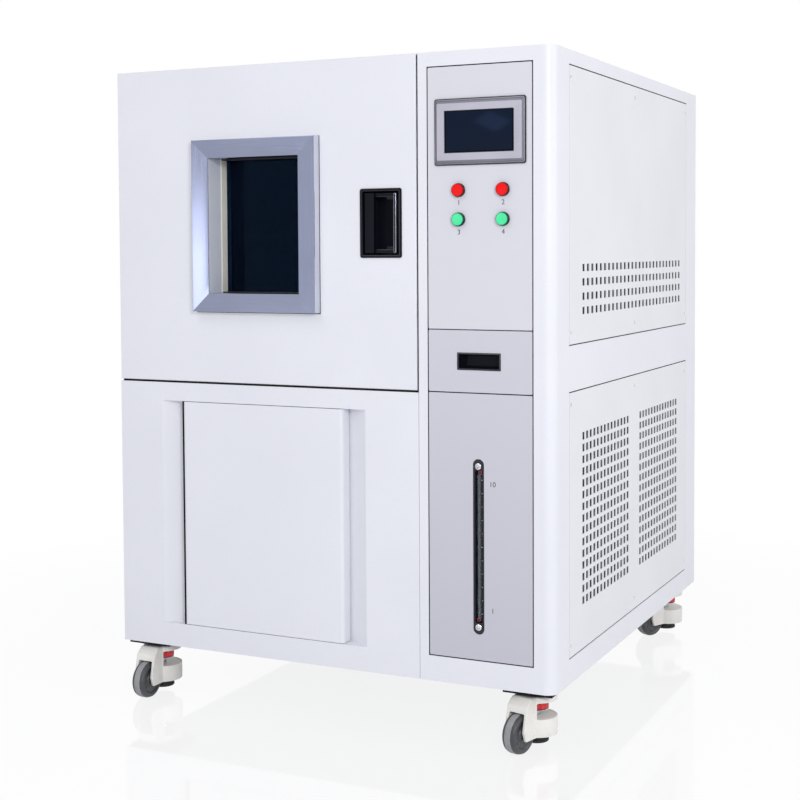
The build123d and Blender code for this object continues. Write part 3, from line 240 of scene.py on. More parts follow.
def fascia_coat():
    """Powder coat of the column's fascias: a cooler grey, with painted shade that steps it darker below the
    drawer's top and deepens it towards the foot.
    """
    material, tree = new_material("polyester_powder_coat_fascia")
    place = add(tree, "ShaderNodeTexCoord").outputs["Object"]
    height = add(tree, "ShaderNodeSeparateXYZ", None, {0: place}).outputs["Z"]
    fascia_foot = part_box("column_fascias")[0].z
    drawer_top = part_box("drawer_front")[1].z
    # Painted shade: a step darker below the drawer's top, and a fade darker towards the fascia's foot
    step = add(tree, "ShaderNodeMapRange", {"From Min": drawer_top - 2 * MM, "From Max": drawer_top + 2 * MM},
               {"Value": height})
    shade_fade = add(tree, "ShaderNodeMapRange", {"From Min": fascia_foot, "From Max": drawer_top},
               {"Value": height})
    lower = add(tree, "ShaderNodeMix", {6: linear("#c5c5ce"), 7: linear("#d0d0d8")}, {0: shade_fade.outputs[0]},
                data_type="RGBA")
    tint = add(tree, "ShaderNodeMix", {7: linear("#dbdbe2")}, {0: step.outputs[0], 6: lower.outputs[2]},
               data_type="RGBA")
    peel = add(tree, "ShaderNodeTexNoise", {"Scale": 1000 / 2.2, "Detail": 3},
               {"Vector": place}).outputs["Fac"]
    gloss = add(tree, "ShaderNodeMapRange", {"To Min": 0.36, "To Max": 0.48}, {"Value": peel})
    bump = add(tree, "ShaderNodeBump", {"Distance": 0.012 * MM}, {"Height": peel})
    skin = add(tree, "ShaderNodeBsdfPrincipled", {"Specular IOR Level": 0.4},
               {"Base Color": tint.outputs[2], "Roughness": gloss.outputs[0], "Normal": bump.outputs[0]})
    add(tree, "ShaderNodeOutputMaterial", None, {"Surface": skin.outputs[0]})
    return material


def glass(name, tint, smear, **shader):
    """Float glass: polished, with a faint smear that shows only in its roughness."""
    material, tree = new_material(name)
    place = add(tree, "ShaderNodeTexCoord").outputs["Object"]
    wipe = add(tree, "ShaderNodeTexNoise", {"Scale": 1000 / 60, "Detail": 4},
               {"Vector": place}).outputs["Fac"]
    gloss = add(tree, "ShaderNodeMapRange", {"To Min": smear[0], "To Max": smear[1]}, {"Value": wipe})
    skin = add(tree, "ShaderNodeBsdfPrincipled", {"Base Color": linear(tint), **shader},
               {"Roughness": gloss.outputs[0]})
    add(tree, "ShaderNodeOutputMaterial", None, {"Surface": skin.outputs[0]})
    return material


grey_coat = fascia_coat()
# Heated window glass with a blue-black tint: nearly all that it shows is the dark inside
pane_glass = glass("float_glass_coated", "#5a7896", (0.02, 0.05), **{
    "Transmission Weight": 1.0, "IOR": 1.45, "Specular Tint": linear("#38608f")})
# Hardened glass over an unlit display: black with a trace of blue
faint_blue = {"IOR": 1.3, "Specular Tint": linear("#6f8fd0")}
display_glass = glass("display_glass", "#141b29", (0.10, 0.16), **faint_blue)
display_edge = glass("display_glass_edge", "#05070c", (0.10, 0.16), **faint_blue)
# Acrylic sight tube of the level gauge
acrylic = glass("acrylic_tube", "#c8d4dc", (0.02, 0.06), **{"Transmission Weight": 0.9, "IOR": 1.3})

corners = ("front_left", "front_right", "rear_left", "rear_right")
node_finishes = {
    white_coat: ["left_side_panel", "roof_panel", "rear_panel", "lower_front_panel", "access_door",
                 "column_shell", "door_shell"],
    side_shaded_coat: ["upper_side_panel", "lower_side_panel"],
    grey_coat: ["column_fascias", "drawer_front"],
    galvanised: ["base_frame"],
    steel_rolled: ["chamber_liner", "door_inner_panel", "air_baffle", "shelf", "door_hinge_leaves",
                   "cabinet_hinge_leaves", "heater"],
    wool: ["chamber_insulation", "door_insulation"],
    black_rubber: ["door_gasket"],
    pane_glass: ["window_glass"],
    black_nylon: ["power_gland", "caster_plates"],
    polyethylene: ["drawer_tray"],
    bay_painted_shade: ["water_tank", "control_plate"],
    aluminium: ["circulation_fan", "fan_motor", "evaporator"],
    shaded_black_fins: ["condenser", "condenser_fan"],
    black_enamel: ["compressor"],
}
for finish, names in node_finishes.items():
    for node_name in names:
        mesh_data = frame["nodes"][node_name].data
        mesh_data.materials.clear()
        mesh_data.materials.append(finish)


# Mesh building

def facing_front(x, y, z):
    """A place whose local x and y run along +X and +Z, and whose height stands out to the front."""
    return Matrix.Translation((x, y, z)) @ Matrix(((1, 0, 0, 0), (0, 0, -1, 0), (0, 1, 0, 0), (0, 0, 0, 1)))


def facing_side(x, y, z, sign=1):
    """A place whose height stands out along +X, or along -X with sign -1."""
    basis = Matrix(((0, 0, sign, 0), (sign, 0, 0, 0), (0, 1, 0, 0), (0, 0, 0, 1)))
    return Matrix.Translation((x, y, z)) @ basis


def upright(x, y, z):
    """A place whose height runs along +Z."""
    return Matrix.Translation((x, y, z))


def rounded_outline(half_x, half_y, radius, steps):
    """Points round a rectangle with rounded corners, always the same number of them."""
    radius = max(min(radius, half_x, half_y), 1e-5)
    points = []
    for quarter, (side_x, side_y) in enumerate(((1, 1), (-1, 1), (-1, -1), (1, -1))):
        for step in range(steps + 1):
            angle = math.pi / 2 * (quarter + step / steps)
            points.append((side_x * (half_x - radius) + radius * math.cos(angle),
                           side_y * (half_y - radius) + radius * math.sin(angle)))
    return points


def stack(mesh, place, sections, steps=8, closed=False):
    """Skins over rounded outlines. A section is half width, half height, corner radius, height, finish.

    All are in mm. The ends are capped, or joined to each other when closed is set.
    """
    loops = []
    for half_x, half_y, radius, height, *_ in sections:
        outline = rounded_outline(half_x, half_y, radius, steps)
        loops.append([mesh.verts.new(place @ (Vector((x, y, height)) * MM)) for x, y in outline])
    pairs = list(zip(loops, loops[1:], sections[1:]))
    if closed:
        pairs.append((loops[-1], loops[0], sections[0]))
    for before, after, section in pairs:
        count = len(before)
        for i in range(count):
            j = (i + 1) % count
            mesh.faces.new((before[i], before[j], after[j], after[i])).material_index = section[4]
    if not closed:
        mesh.faces.new(loops[0][::-1]).material_index = sections[0][4]
        mesh.faces.new(loops[-1]).material_index = sections[-1][4]


def turned(mesh, place, profile, steps=12, closed=False):
    """A turned piece. The profile holds radius, height and finish."""
    stack(mesh, place, [(r, r, r, h, finish) for r, h, finish in profile], steps, closed)


def block(mesh, low, high, edge, finish=0, segments=3):
    """A square bar between two corners in metres, with its edges rounded by edge mm."""
    made = bmesh.ops.create_cube(mesh, size=1)
    low, high = Vector(low), Vector(high)
    size = high - low
    bmesh.ops.scale(mesh, vec=size, verts=made["verts"])
    bmesh.ops.translate(mesh, vec=(low + high) / 2, verts=made["verts"])
    edges = list(dict.fromkeys(e for v in made["verts"] for e in v.link_edges))
    faces = {f for v in made["verts"] for f in v.link_faces}
    if edge:
        result = bmesh.ops.bevel(mesh, geom=edges, offset=edge * MM, segments=segments, profile=0.5,
                                 affect="EDGES")
        faces = {f for f in faces if f.is_valid} | set(result["faces"])
    for face in faces:
        face.material_index = finish


def cross_head(mesh, place, radius, rise, finish=0, rings=10, spokes=48):
    """A screw head with a cross recess. The rim lies at height 0 and the middle at rise mm."""
    slot_half, slot_reach, slot_depth = radius * 0.15, radius * 0.62, radius * 0.3
    loops = []
    for ring in range(1, rings + 1):
        r = radius * ring / rings
        loop = []
        for spoke in range(spokes):
            angle = 2 * math.pi * spoke / spokes
            x, y = r * math.cos(angle), r * math.sin(angle)
            height = rise * (1 - (r / radius) ** 2)
            near, far = min(abs(x), abs(y)), max(abs(x), abs(y))
            if near < slot_half and far < slot_reach:
                height -= slot_depth
            loop.append(mesh.verts.new(place @ (Vector((x, y, height)) * MM)))
        loops.append(loop)
    hub = mesh.verts.new(place @ (Vector((0, 0, rise - slot_depth)) * MM))
    for i in range(spokes):
        j = (i + 1) % spokes
        mesh.faces.new((hub, loops[0][i], loops[0][j])).material_index = finish
        for inner, outer in zip(loops, loops[1:]):
            mesh.faces.new((inner[i], outer[i], outer[j], inner[j])).material_index = finish


def piece(name, mesh, finishes, body, stands_for=(), sharp=32):
    """Makes the finished mesh an object that rides on its body and takes the place of CAD nodes."""
    bmesh.ops.remove_doubles(mesh, verts=mesh.verts, dist=1e-6)
    bmesh.ops.dissolve_degenerate(mesh, edges=mesh.edges, dist=1e-7)
    bmesh.ops.recalc_face_normals(mesh, faces=mesh.faces)
    data = bpy.data.meshes.new(name)
    mesh.to_mesh(data)
    mesh.free()
    data.shade_smooth()
    data.set_sharp_from_angle(angle=math.radians(sharp))
    for finish in finishes:
        data.materials.append(finish)
    made = bpy.data.objects.new(name, data)
    bpy.context.scene.collection.objects.link(made)
    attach(made, body)
    if stands_for:
        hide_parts(*stands_for)
    return made


def middle(node):
    """Middle of a CAD node's box."""
    low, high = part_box(node)
    return (low + high) / 2


# Window trim: four mitred strips of folded steel with the reveal behind them

front = cabinet_corner.y
trim_low, trim_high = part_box("window_frame")
trim_half_x, trim_half_z = [(trim_high[i] - trim_low[i]) / 2 / MM for i in (0, 2)]
trim_out = (front - trim_low.y) / MM
reveal_back = (front - trim_high.y) / MM
trim_middle = middle("window_frame")
trim_place = facing_front(trim_middle.x, front, trim_middle.z)
strip = 42
mitre_gap = 0.1


def fold(drop):
    """Outline across a strip whose inner edge drops: distance in from its edge, height and finish."""
    return [
        (0, 0, 3), (0, trim_out - 1.6, 3), (0.5, trim_out - 0.5, 0), (1.6, trim_out, 0),
        (strip - 1.4, trim_out - drop, 0), (strip - 0.4, trim_out - drop - 0.4, 0),
        (strip, trim_out - drop - 1.4, 2), (strip, reveal_back, 2), (strip - 1.9, reveal_back, 2),
        (strip - 1.9, trim_out - 8, 2), (2, trim_out - 3, 2), (2, 0, 2),
    ]


def trim_strip(mesh, side, drops, stations=12):
    """One mitred strip, whose inner edge drops from the first to the last of the drops along it."""
    loops = []
    for station in range(stations + 1):
        share = station / stations
        loop = []
        for inward, height, _ in fold(drops[0] + (drops[1] - drops[0]) * share):
            reach_x, reach_z = trim_half_x - inward, trim_half_z - inward
            along = 2 * share - 1
            if side in ("top", "bottom"):
                x, z = along * (reach_x - mitre_gap), reach_z if side == "top" else -reach_z
            else:
                x, z = reach_x if side == "right" else -reach_x, along * (reach_z - mitre_gap)
            loop.append(mesh.verts.new(trim_place @ (Vector((x, z, height)) * MM)))
        loops.append(loop)
    finishes = [finish for *_, finish in fold(1)]
    count = len(finishes)
    for before, after in zip(loops, loops[1:]):
        for i in range(count):
            j = (i + 1) % count
            face = mesh.faces.new((before[i], before[j], after[j], after[i]))
            face.material_index = finishes[i]
            # The sides of the reveal keep the near-white steel painted as light; the top and bottom of the
            # reveal take the face's mirror steel
            if finishes[i] == 0 and side in ("left", "right"):
                face.material_index = 1
            elif finishes[i] == 2 and side in ("top", "bottom"):
                face.material_index = 0
    for loop in (loops[0], loops[-1]):
        mesh.faces.new(loop)


mesh = bmesh.new()
for side, drops in (("top", (5, 1)), ("bottom", (5, 1)), ("left", (5, 5)), ("right", (1, 1))):
    trim_strip(mesh, side, drops)
piece("window_trim", mesh, [steel_level, steel_upright, reveal_steel_painted_pale, steel_flange_lit], "door",
      ["window_frame"], sharp=20)


# Lip under the trim: a black strip painted as the trim's shadow, shown widest on the left and below

mesh = bmesh.new()
lip_rise, lip_hold = 1.0 * MM, 1 * MM
lip_low = trim_low - Vector((2.4, 0, 2.4)) * MM
lip_high = trim_high + Vector((0.7, 0, 0.9)) * MM
hold_low = trim_low + Vector((lip_hold, 0, lip_hold))
hold_high = trim_high - Vector((lip_hold, 0, lip_hold))
for x_low, x_high, z_low, z_high in (
    (lip_low.x, hold_low.x, lip_low.z, lip_high.z),
    (hold_high.x, lip_high.x, lip_low.z, lip_high.z),
    (hold_low.x, hold_high.x, lip_low.z, hold_low.z),
    (hold_low.x, hold_high.x, hold_high.z, lip_high.z),
):
    block(mesh, (x_low, front - lip_rise, z_low), (x_high, front - 0.05 * MM, z_high), 0.3)
piece("window_trim_shadow_lip", mesh, [seam_shade_black], "door")


# Spacer round the panes: white silicone at the sides, and black rubber above and below, painted dark as the
# shade that falls there

seal_low, seal_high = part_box("window_seal")
pane_low, pane_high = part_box("window_glass")
side_bars, shaded_level_bars = bmesh.new(), bmesh.new()
pane_gap = 0.1 * MM
bar_left, bar_right = pane_low.x - pane_gap, pane_high.x + pane_gap
for x_low, x_high in ((seal_low.x, bar_left), (bar_right, seal_high.x)):
    block(side_bars, (x_low, seal_low.y, seal_low.z), (x_high, seal_high.y, seal_high.z), 0.4)
for z_low, z_high in ((seal_low.z, pane_low.z - pane_gap), (pane_high.z + pane_gap, seal_high.z)):
    block(shaded_level_bars, (bar_left, seal_low.y, z_low), (bar_right, seal_high.y, z_high), 0.4)
piece("window_spacer_sides", side_bars, [white_silicone], "door", ["window_seal"])
piece("window_spacer_levels_painted_shade", shaded_level_bars, [black_rubber], "door", ["window_seal"])


# Door handle: flush housing, pad and grip

handle_middle = middle("handle_housing")
handle_place = facing_front(handle_middle.x, front, handle_middle.z)
mesh = bmesh.new()
stack(mesh, handle_place, [
    (46.5, 71, 2, -35.4, 0), (46.5, 71, 2, 0, 0), (50, 75, 5, 0, 0), (50, 75, 5, 1.8, 0),
    (49.6, 74.6, 4.6, 2.6, 0), (48.8, 73.8, 4.2, 3.0, 0), (46.8, 71.8, 3.6, 3.0, 0),
    (46.2, 71.2, 3.2, 2.4, 0), (45.6, 70.6, 3.0, 2.4, 1), (45.0, 70.0, 2.6, 2.9, 1),
    (44.2, 69.2, 2.2, 2.6, 1), (44.0, 69.0, 2.0, 1.8, 0),
    (44.0, 69.0, 2.0, -28, 0), (42.5, 67.5, 3.0, -32, 0), (39.5, 64.5, 5.0, -34, 0),
], steps=5)
piece("handle_flush_housing", mesh, [black_nylon, gloss_nylon], "door", ["handle_housing"])

lever_low, lever_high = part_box("handle_lever")
reach = (lever_high.z - lever_low.z) / 2 / MM
lever_z = (lever_high.z + lever_low.z) / 2
pad_width, grip_width, pivot_half = 25 * MM, 8 * MM, 7 * MM
pivot_x = lever_low.x + 16 * MM
mesh = bmesh.new()
block(mesh, (lever_low.x + 3.3 * MM, front - 1 * MM, lever_low.z),
      (lever_low.x + pad_width, front + 3.2 * MM, lever_high.z), 0.8)
block(mesh, (pivot_x - pivot_half, front + 2.8 * MM, lever_low.z),
      (pivot_x + pivot_half, front + 19 * MM, lever_high.z), 4)
block(mesh, (lever_high.x - grip_width, front - 1 * MM, lever_low.z),
      (lever_high.x, front + 9 * MM, lever_high.z), 2.6, 1, 5)
for sign in (-1, 1):
    outer = lever_z + sign * reach * MM
    inner = lever_z + sign * (reach - 9) * MM
    block(mesh, (pivot_x, front + 4.5 * MM, min(outer, inner)),
          (lever_high.x - 1.5 * MM, front + 15 * MM, max(outer, inner)), 2.2, 2)
    rib = lever_z + sign * (reach - 14) * MM
    block(mesh, (lever_high.x - 26 * MM, front + 6 * MM, min(rib, inner)),
          (lever_high.x - 4 * MM, front + 13 * MM, max(rib, inner) + 0.5 * MM), 1.6, 2)
piece("handle_grip", mesh, [black_nylon, grip_chrome, gloss_nylon], "handle",
      ["handle_lever"])


# Touch screen: sprayed bezel with a sloping edge, and the display in it

screen_middle = middle("touchscreen_glass")
bezel_low, bezel_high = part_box("touchscreen_bezel")
bezel_half = ((bezel_high.x - bezel_low.x) / 2 / MM, (bezel_high.z - bezel_low.z) / 2 / MM)
screen_place = facing_front(screen_middle.x, front, screen_middle.z)
bw, bh = bezel_half
mesh = bmesh.new()
# The bezel's outer wall, first bevel and a fine groove are black nylon, a dark outline painted as the bezel's
# shadow; the sloping bands take the silver painted darker as shade
stack(mesh, screen_place, [
    (bw - 7, bh - 7, 2, -37.8, 2), (bw - 7, bh - 7, 2, 0, 2), (bw, bh, 5, 0, 2), (bw, bh, 5, 2.6, 2),
    (bw - 0.4, bh - 0.4, 4.8, 3.4, 2), (bw - 1.6, bh - 1.6, 4.4, 3.9, 2), (bw - 2.2, bh - 2.2, 4.2, 3.5, 2),
    (bw - 3.0, bh - 3.0, 4.0, 3.9, 1), (bw - 4.4, bh - 5.0, 3.6, 4.6, 1), (bw - 5.0, bh - 5.6, 3.4, 4.4, 2),
    (bw - 5.4, bh - 6.2, 3.2, 4.8, 1), (bw - 7.4, bh - 10.4, 2.6, 7.6, 1), (bw - 7.9, bh - 11, 2.4, 8.0, 0),
    (78.6, 44.6, 1.6, 8.0, 0), (77.8, 43.8, 1.2, 7.7, 2), (77.0, 43.0, 1.0, 6.8, 2),
    (77.0, 43.0, 1.0, 2.0, 2),
], steps=5)
piece("touchscreen_front", mesh, [silver_abs, shaded_silver_edge, gloss_nylon], "cabinet",
      ["touchscreen_bezel"])
mesh = bmesh.new()
stack(mesh, screen_place, [
    (76.7, 42.7, 1.0, 2.1, 0), (76.7, 42.7, 1.0, 6.2, 0), (76.2, 42.2, 1.0, 6.7, 0),
    (74.6, 40.6, 0.5, 6.7, 0), (74.4, 40.4, 0.5, 6.6, 1),
], steps=3)
piece("touchscreen_display", mesh, [display_edge, display_glass], "cabinet",
      ["touchscreen_glass"])


# Push buttons: collar with a stepped front, cap with a rim painted dark as shade round a bright lens

buttons = {
    "red_button_left": (red_shaded_rim, red_lens, "red_plastic"),
    "red_button_right": (red_shaded_rim, red_lens, "red_plastic"),
    "green_button_left": (green_shaded_rim, green_lens, "green_plastic"),
    "green_button_right": (green_shaded_rim, green_lens, "green_plastic"),
}
collar_mesh = bmesh.new()
collar_top = (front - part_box("button_collars")[0].y) / MM
for name, (rim, lens, slot) in buttons.items():
    centre = middle(name)
    cap_top = (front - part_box(name)[0].y) / MM
    place = facing_front(centre.x, front, centre.z)
    turned(collar_mesh, place, [
        (11, -30, 0), (11, 0, 0), (14.8, 0, 0), (14.8, 1.4, 0), (14.3, 1.7, 0), (14.3, 2.2, 0),
        (14.8, 2.5, 0), (14.8, collar_top - 0.9, 0), (14.5, collar_top - 0.3, 0), (13.9, collar_top, 0),
        (12.4, collar_top, 0),
        (12.0, collar_top - 0.3, 0), (12.0, collar_top - 1.2, 0), (8.1, collar_top - 1.2, 0), (8.1, -30, 0),
    ], steps=14, closed=True)
    mesh = bmesh.new()
    turned(mesh, place, [
        (7.9, -25.8, 0), (7.9, cap_top - 3.4, 0), (13.4, cap_top - 3.4, 0), (13.9, cap_top - 2.9, 0),
        (14.0, cap_top - 2.0, 0), (13.8, cap_top - 1.0, 0), (13.4, cap_top - 0.4, 0),
        (12.9, cap_top - 0.1, 0), (12.4, cap_top - 0.1, 0), (12.1, cap_top - 0.5, 1),
        (11.0, cap_top - 0.4, 1), (8.0, cap_top - 0.15, 1), (4.0, cap_top - 0.03, 1), (0.6, cap_top, 1),
    ], steps=14)
    piece(name + "_cap", mesh, [rim, lens], name, [name], sharp=50)
piece("button_sleeves", collar_mesh, [gloss_nylon], "cabinet", ["button_collars"])


# Drawer pull: cup with sloping inner walls

pull_middle = middle("drawer_pull")
pull_place = facing_front(pull_middle.x, front, pull_middle.z)
mesh = bmesh.new()
stack(mesh, pull_place, [
    (47, 16, 1, -25.8, 0), (47, 16, 1, 0, 0), (49.5, 18.5, 1.6, 0, 0), (49.5, 18.5, 1.6, 0.8, 0),
    (49.0, 18.0, 1.4, 1.4, 0), (48.0, 17.0, 1.2, 1.5, 0), (46.4, 15.5, 1.2, 1.5, 0),
    (45.8, 15.0, 1.2, 0.9, 0), (45.7, 14.8, 1.2, -3.0, 0), (44.6, 14.0, 1.6, -9, 1),
    (36.5, 12.4, 2.2, -21.5, 1), (35.5, 11.6, 2.2, -23.6, 1), (34.5, 10.6, 2.0, -24.2, 1),
], steps=4)
piece("drawer_pull_cup", mesh, [gloss_nylon, black_nylon], "drawer", ["drawer_pull"],
      sharp=24)


# Level gauge: black body in the slot, sight tube, scale and two red marks

gauge_middle = middle("level_gauge")
gauge_half = (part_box("level_gauge")[1].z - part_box("level_gauge")[0].z) / 2 / MM
gauge_place = facing_front(gauge_middle.x, front, gauge_middle.z)
gauge_reach = 12.4
trough = 7.4
mesh = bmesh.new()
stack(mesh, gauge_place, [
    (gauge_reach, gauge_half, gauge_reach, -22, 0), (gauge_reach, gauge_half, gauge_reach, -1.2, 0),
    (gauge_reach - 0.5, gauge_half - 0.5, gauge_reach - 0.5, -0.7, 0),
    (gauge_reach - 3.4, gauge_half - 3.4, gauge_reach - 3.4, -0.7, 0),
    (gauge_reach - 4.0, gauge_half - 24, 4, -1.4, 0),
    (trough, gauge_half - 26, 3, -8, 0), (trough - 2, gauge_half - 27, 2, -10, 0),
], steps=8)
for tick in range(11):
    level = (gauge_half - 44) * (tick / 5 - 1)
    length = 3.2 if tick % 5 == 0 else 2.0
    low = gauge_place @ (Vector((trough + 1.6 - length, level - 0.4, -0.75)) * MM)
    high = gauge_place @ (Vector((trough + 1.6, level + 0.4, -0.62)) * MM)
    corner_low = Vector(map(min, low, high))
    corner_high = Vector(map(max, low, high))
    block(mesh, corner_low, corner_high, 0, 1)
for level, shift in ((gauge_half - 29, 3.4), (31 - gauge_half, 0)):
    spot = gauge_place @ (Vector((shift, level, -1.8)) * MM)
    block(mesh, spot - Vector((3.4, 1.5, 3.4)) * MM, spot + Vector((3.4, 1.5, 3.4)) * MM, 0.6, 2)
piece("level_gauge_body", mesh, [gloss_nylon, silver_abs, red_nylon], "cabinet",
      ["level_gauge"])
mesh = bmesh.new()
turned(mesh, upright(gauge_middle.x, front + 6 * MM, gauge_middle.z), [
    (4.2, 34 - gauge_half, 0), (4.2, gauge_half - 34, 0),
], steps=6)
piece("level_sight_tube", mesh, [acrylic], "cabinet")


# Screws: domed on the gauge, countersunk on the side panels

panel_low, panel_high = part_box("lower_side_panel")
upper_low, upper_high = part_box("upper_side_panel")
side_x = panel_high.x
mesh = bmesh.new()
for sign in (-1, 1):
    screw_z = gauge_middle.z + sign * (gauge_half + 0.3 - 15.5) * MM
    place = facing_front(gauge_middle.x, front, screw_z)
    turned(mesh, place, [(5, -20, 0), (5, -1, 0), (7, -1, 0), (7, 1.6, 0), (6.8, 2.2, 0)], steps=10)
    cross_head(mesh, facing_front(gauge_middle.x, front - 2.2 * MM, screw_z), 6.8, 2.6)
for low, high in ((panel_low, panel_high), (upper_low, upper_high)):
    for y in (low.y + 10 * MM, (low.y + high.y) / 2, high.y - 10 * MM):
        for z in (low.z + 25 * MM, high.z - 25 * MM):
            place = facing_side(side_x, y, z)
            turned(mesh, place, [(2.3, -8.8, 0), (2.3, -2, 0), (4.9, -0.1, 0)], steps=6)
            cross_head(mesh, facing_side(side_x - 0.1 * MM, y, z), 4.9, 0.1, rings=7, spokes=32)
piece("cross_screws", mesh, [zinc], "cabinet", ["panel_screws"], sharp=40)


# Hinges: countersunk screws in the leaves

leaf_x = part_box("door_hinge_leaves")[1].x - 4 * MM
hinge_bodies = {"door_hinge_leaves": "door", "cabinet_hinge_leaves": "cabinet"}
for node_name, body in hinge_bodies.items():
    low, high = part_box(node_name)
    near = low.y + 18 * MM if body == "door" else high.y - 18 * MM
    mesh = bmesh.new()
    for hinge_z in (low.z + 57 * MM, high.z - 57 * MM):
        for offset in (-42 * MM, 0, 42 * MM):
            cross_head(mesh, facing_side(leaf_x, near, hinge_z + offset, -1), 4.6, 0.8, rings=7, spokes=32)
    piece(node_name + "_screws", mesh, [zinc], body, sharp=40)


# Cable port: plain ring round its mouth

port = frame["record"]["mounts"][0]
port_y, port_z = port["pos_m"][1], port["pos_m"][2]
mesh = bmesh.new()
turned(mesh, facing_side(cabinet_corner.x, port_y, port_z, -1), [
    (25.2, 0, 0), (36, 0, 0), (36, 1.8, 0), (35, 2.8, 0), (28, 3.2, 0), (25.2, 2.2, 0),
], steps=14, closed=True)
piece("cable_port_ring", mesh, [black_nylon], "cabinet")


# Printed numbers beside the buttons and the gauge

def number(text, x, z, size, body, out=0.06):
    """A plain printed number, flat on the front."""
    curve = bpy.data.curves.new("number_" + text, "FONT")
    curve.body = text
    curve.size = size * MM
    curve.align_x = "CENTER"
    curve.align_y = "CENTER"
    curve.extrude = 0.04 * MM
    written = bpy.data.objects.new("writing", curve)
    bpy.context.scene.collection.objects.link(written)
    bpy.context.view_layer.update()
    data = bpy.data.meshes.new_from_object(written.evaluated_get(bpy.context.evaluated_depsgraph_get()))
    bpy.data.objects.remove(written)
    data.transform(facing_front(x, front - out * MM, z))
    data.materials.clear()
    data.materials.append(ink)
    made = bpy.data.objects.new(f"printed_{text}_{round(x / MM)}_{round(z / MM)}", data)
    bpy.context.scene.collection.objects.link(made)
    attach(made, body)


for text, name in zip("1234", buttons):
    centre = middle(name)
    number(text, centre.x, centre.z - 27 * MM, 15, "cabinet")
for text, share in (("10", 0.72), ("1", -0.72)):
    number(text, gauge_middle.x + 32 * MM, gauge_middle.z + share * gauge_half * MM, 15, "cabinet")


# Casters: moulded housing, wheel with a tread, and the foot with its thumbwheel

def softened(node, name, voxel, rounds):
    """The node's solid with all its edges rounded over, as a mould would leave them."""
    source = frame["nodes"][node].data.copy()
    made = bpy.data.objects.new(name, source)
    bpy.context.scene.collection.objects.link(made)
    remesh = made.modifiers.new("even", "REMESH")
    remesh.mode = "VOXEL"
    remesh.voxel_size = voxel * MM
    smooth = made.modifiers.new("round", "SMOOTH")
    smooth.factor = 0.5
    smooth.iterations = rounds
    bpy.context.view_layer.update()
    data = bpy.data.meshes.new_from_object(made.evaluated_get(bpy.context.evaluated_depsgraph_get()))
    bpy.data.objects.remove(made)
    data.name = name
    return data


def caster_stand(corner):
    """Where a caster's swivel axis meets the floor, and the turn that its wheel trails at."""
    axis = middle("levelling_foot_" + corner)
    trail = middle("caster_wheel_" + corner) - axis
    return Matrix.Translation((axis.x, axis.y, 0)) @ Matrix.Rotation(math.atan2(trail.x, -trail.y), 4, "Z")


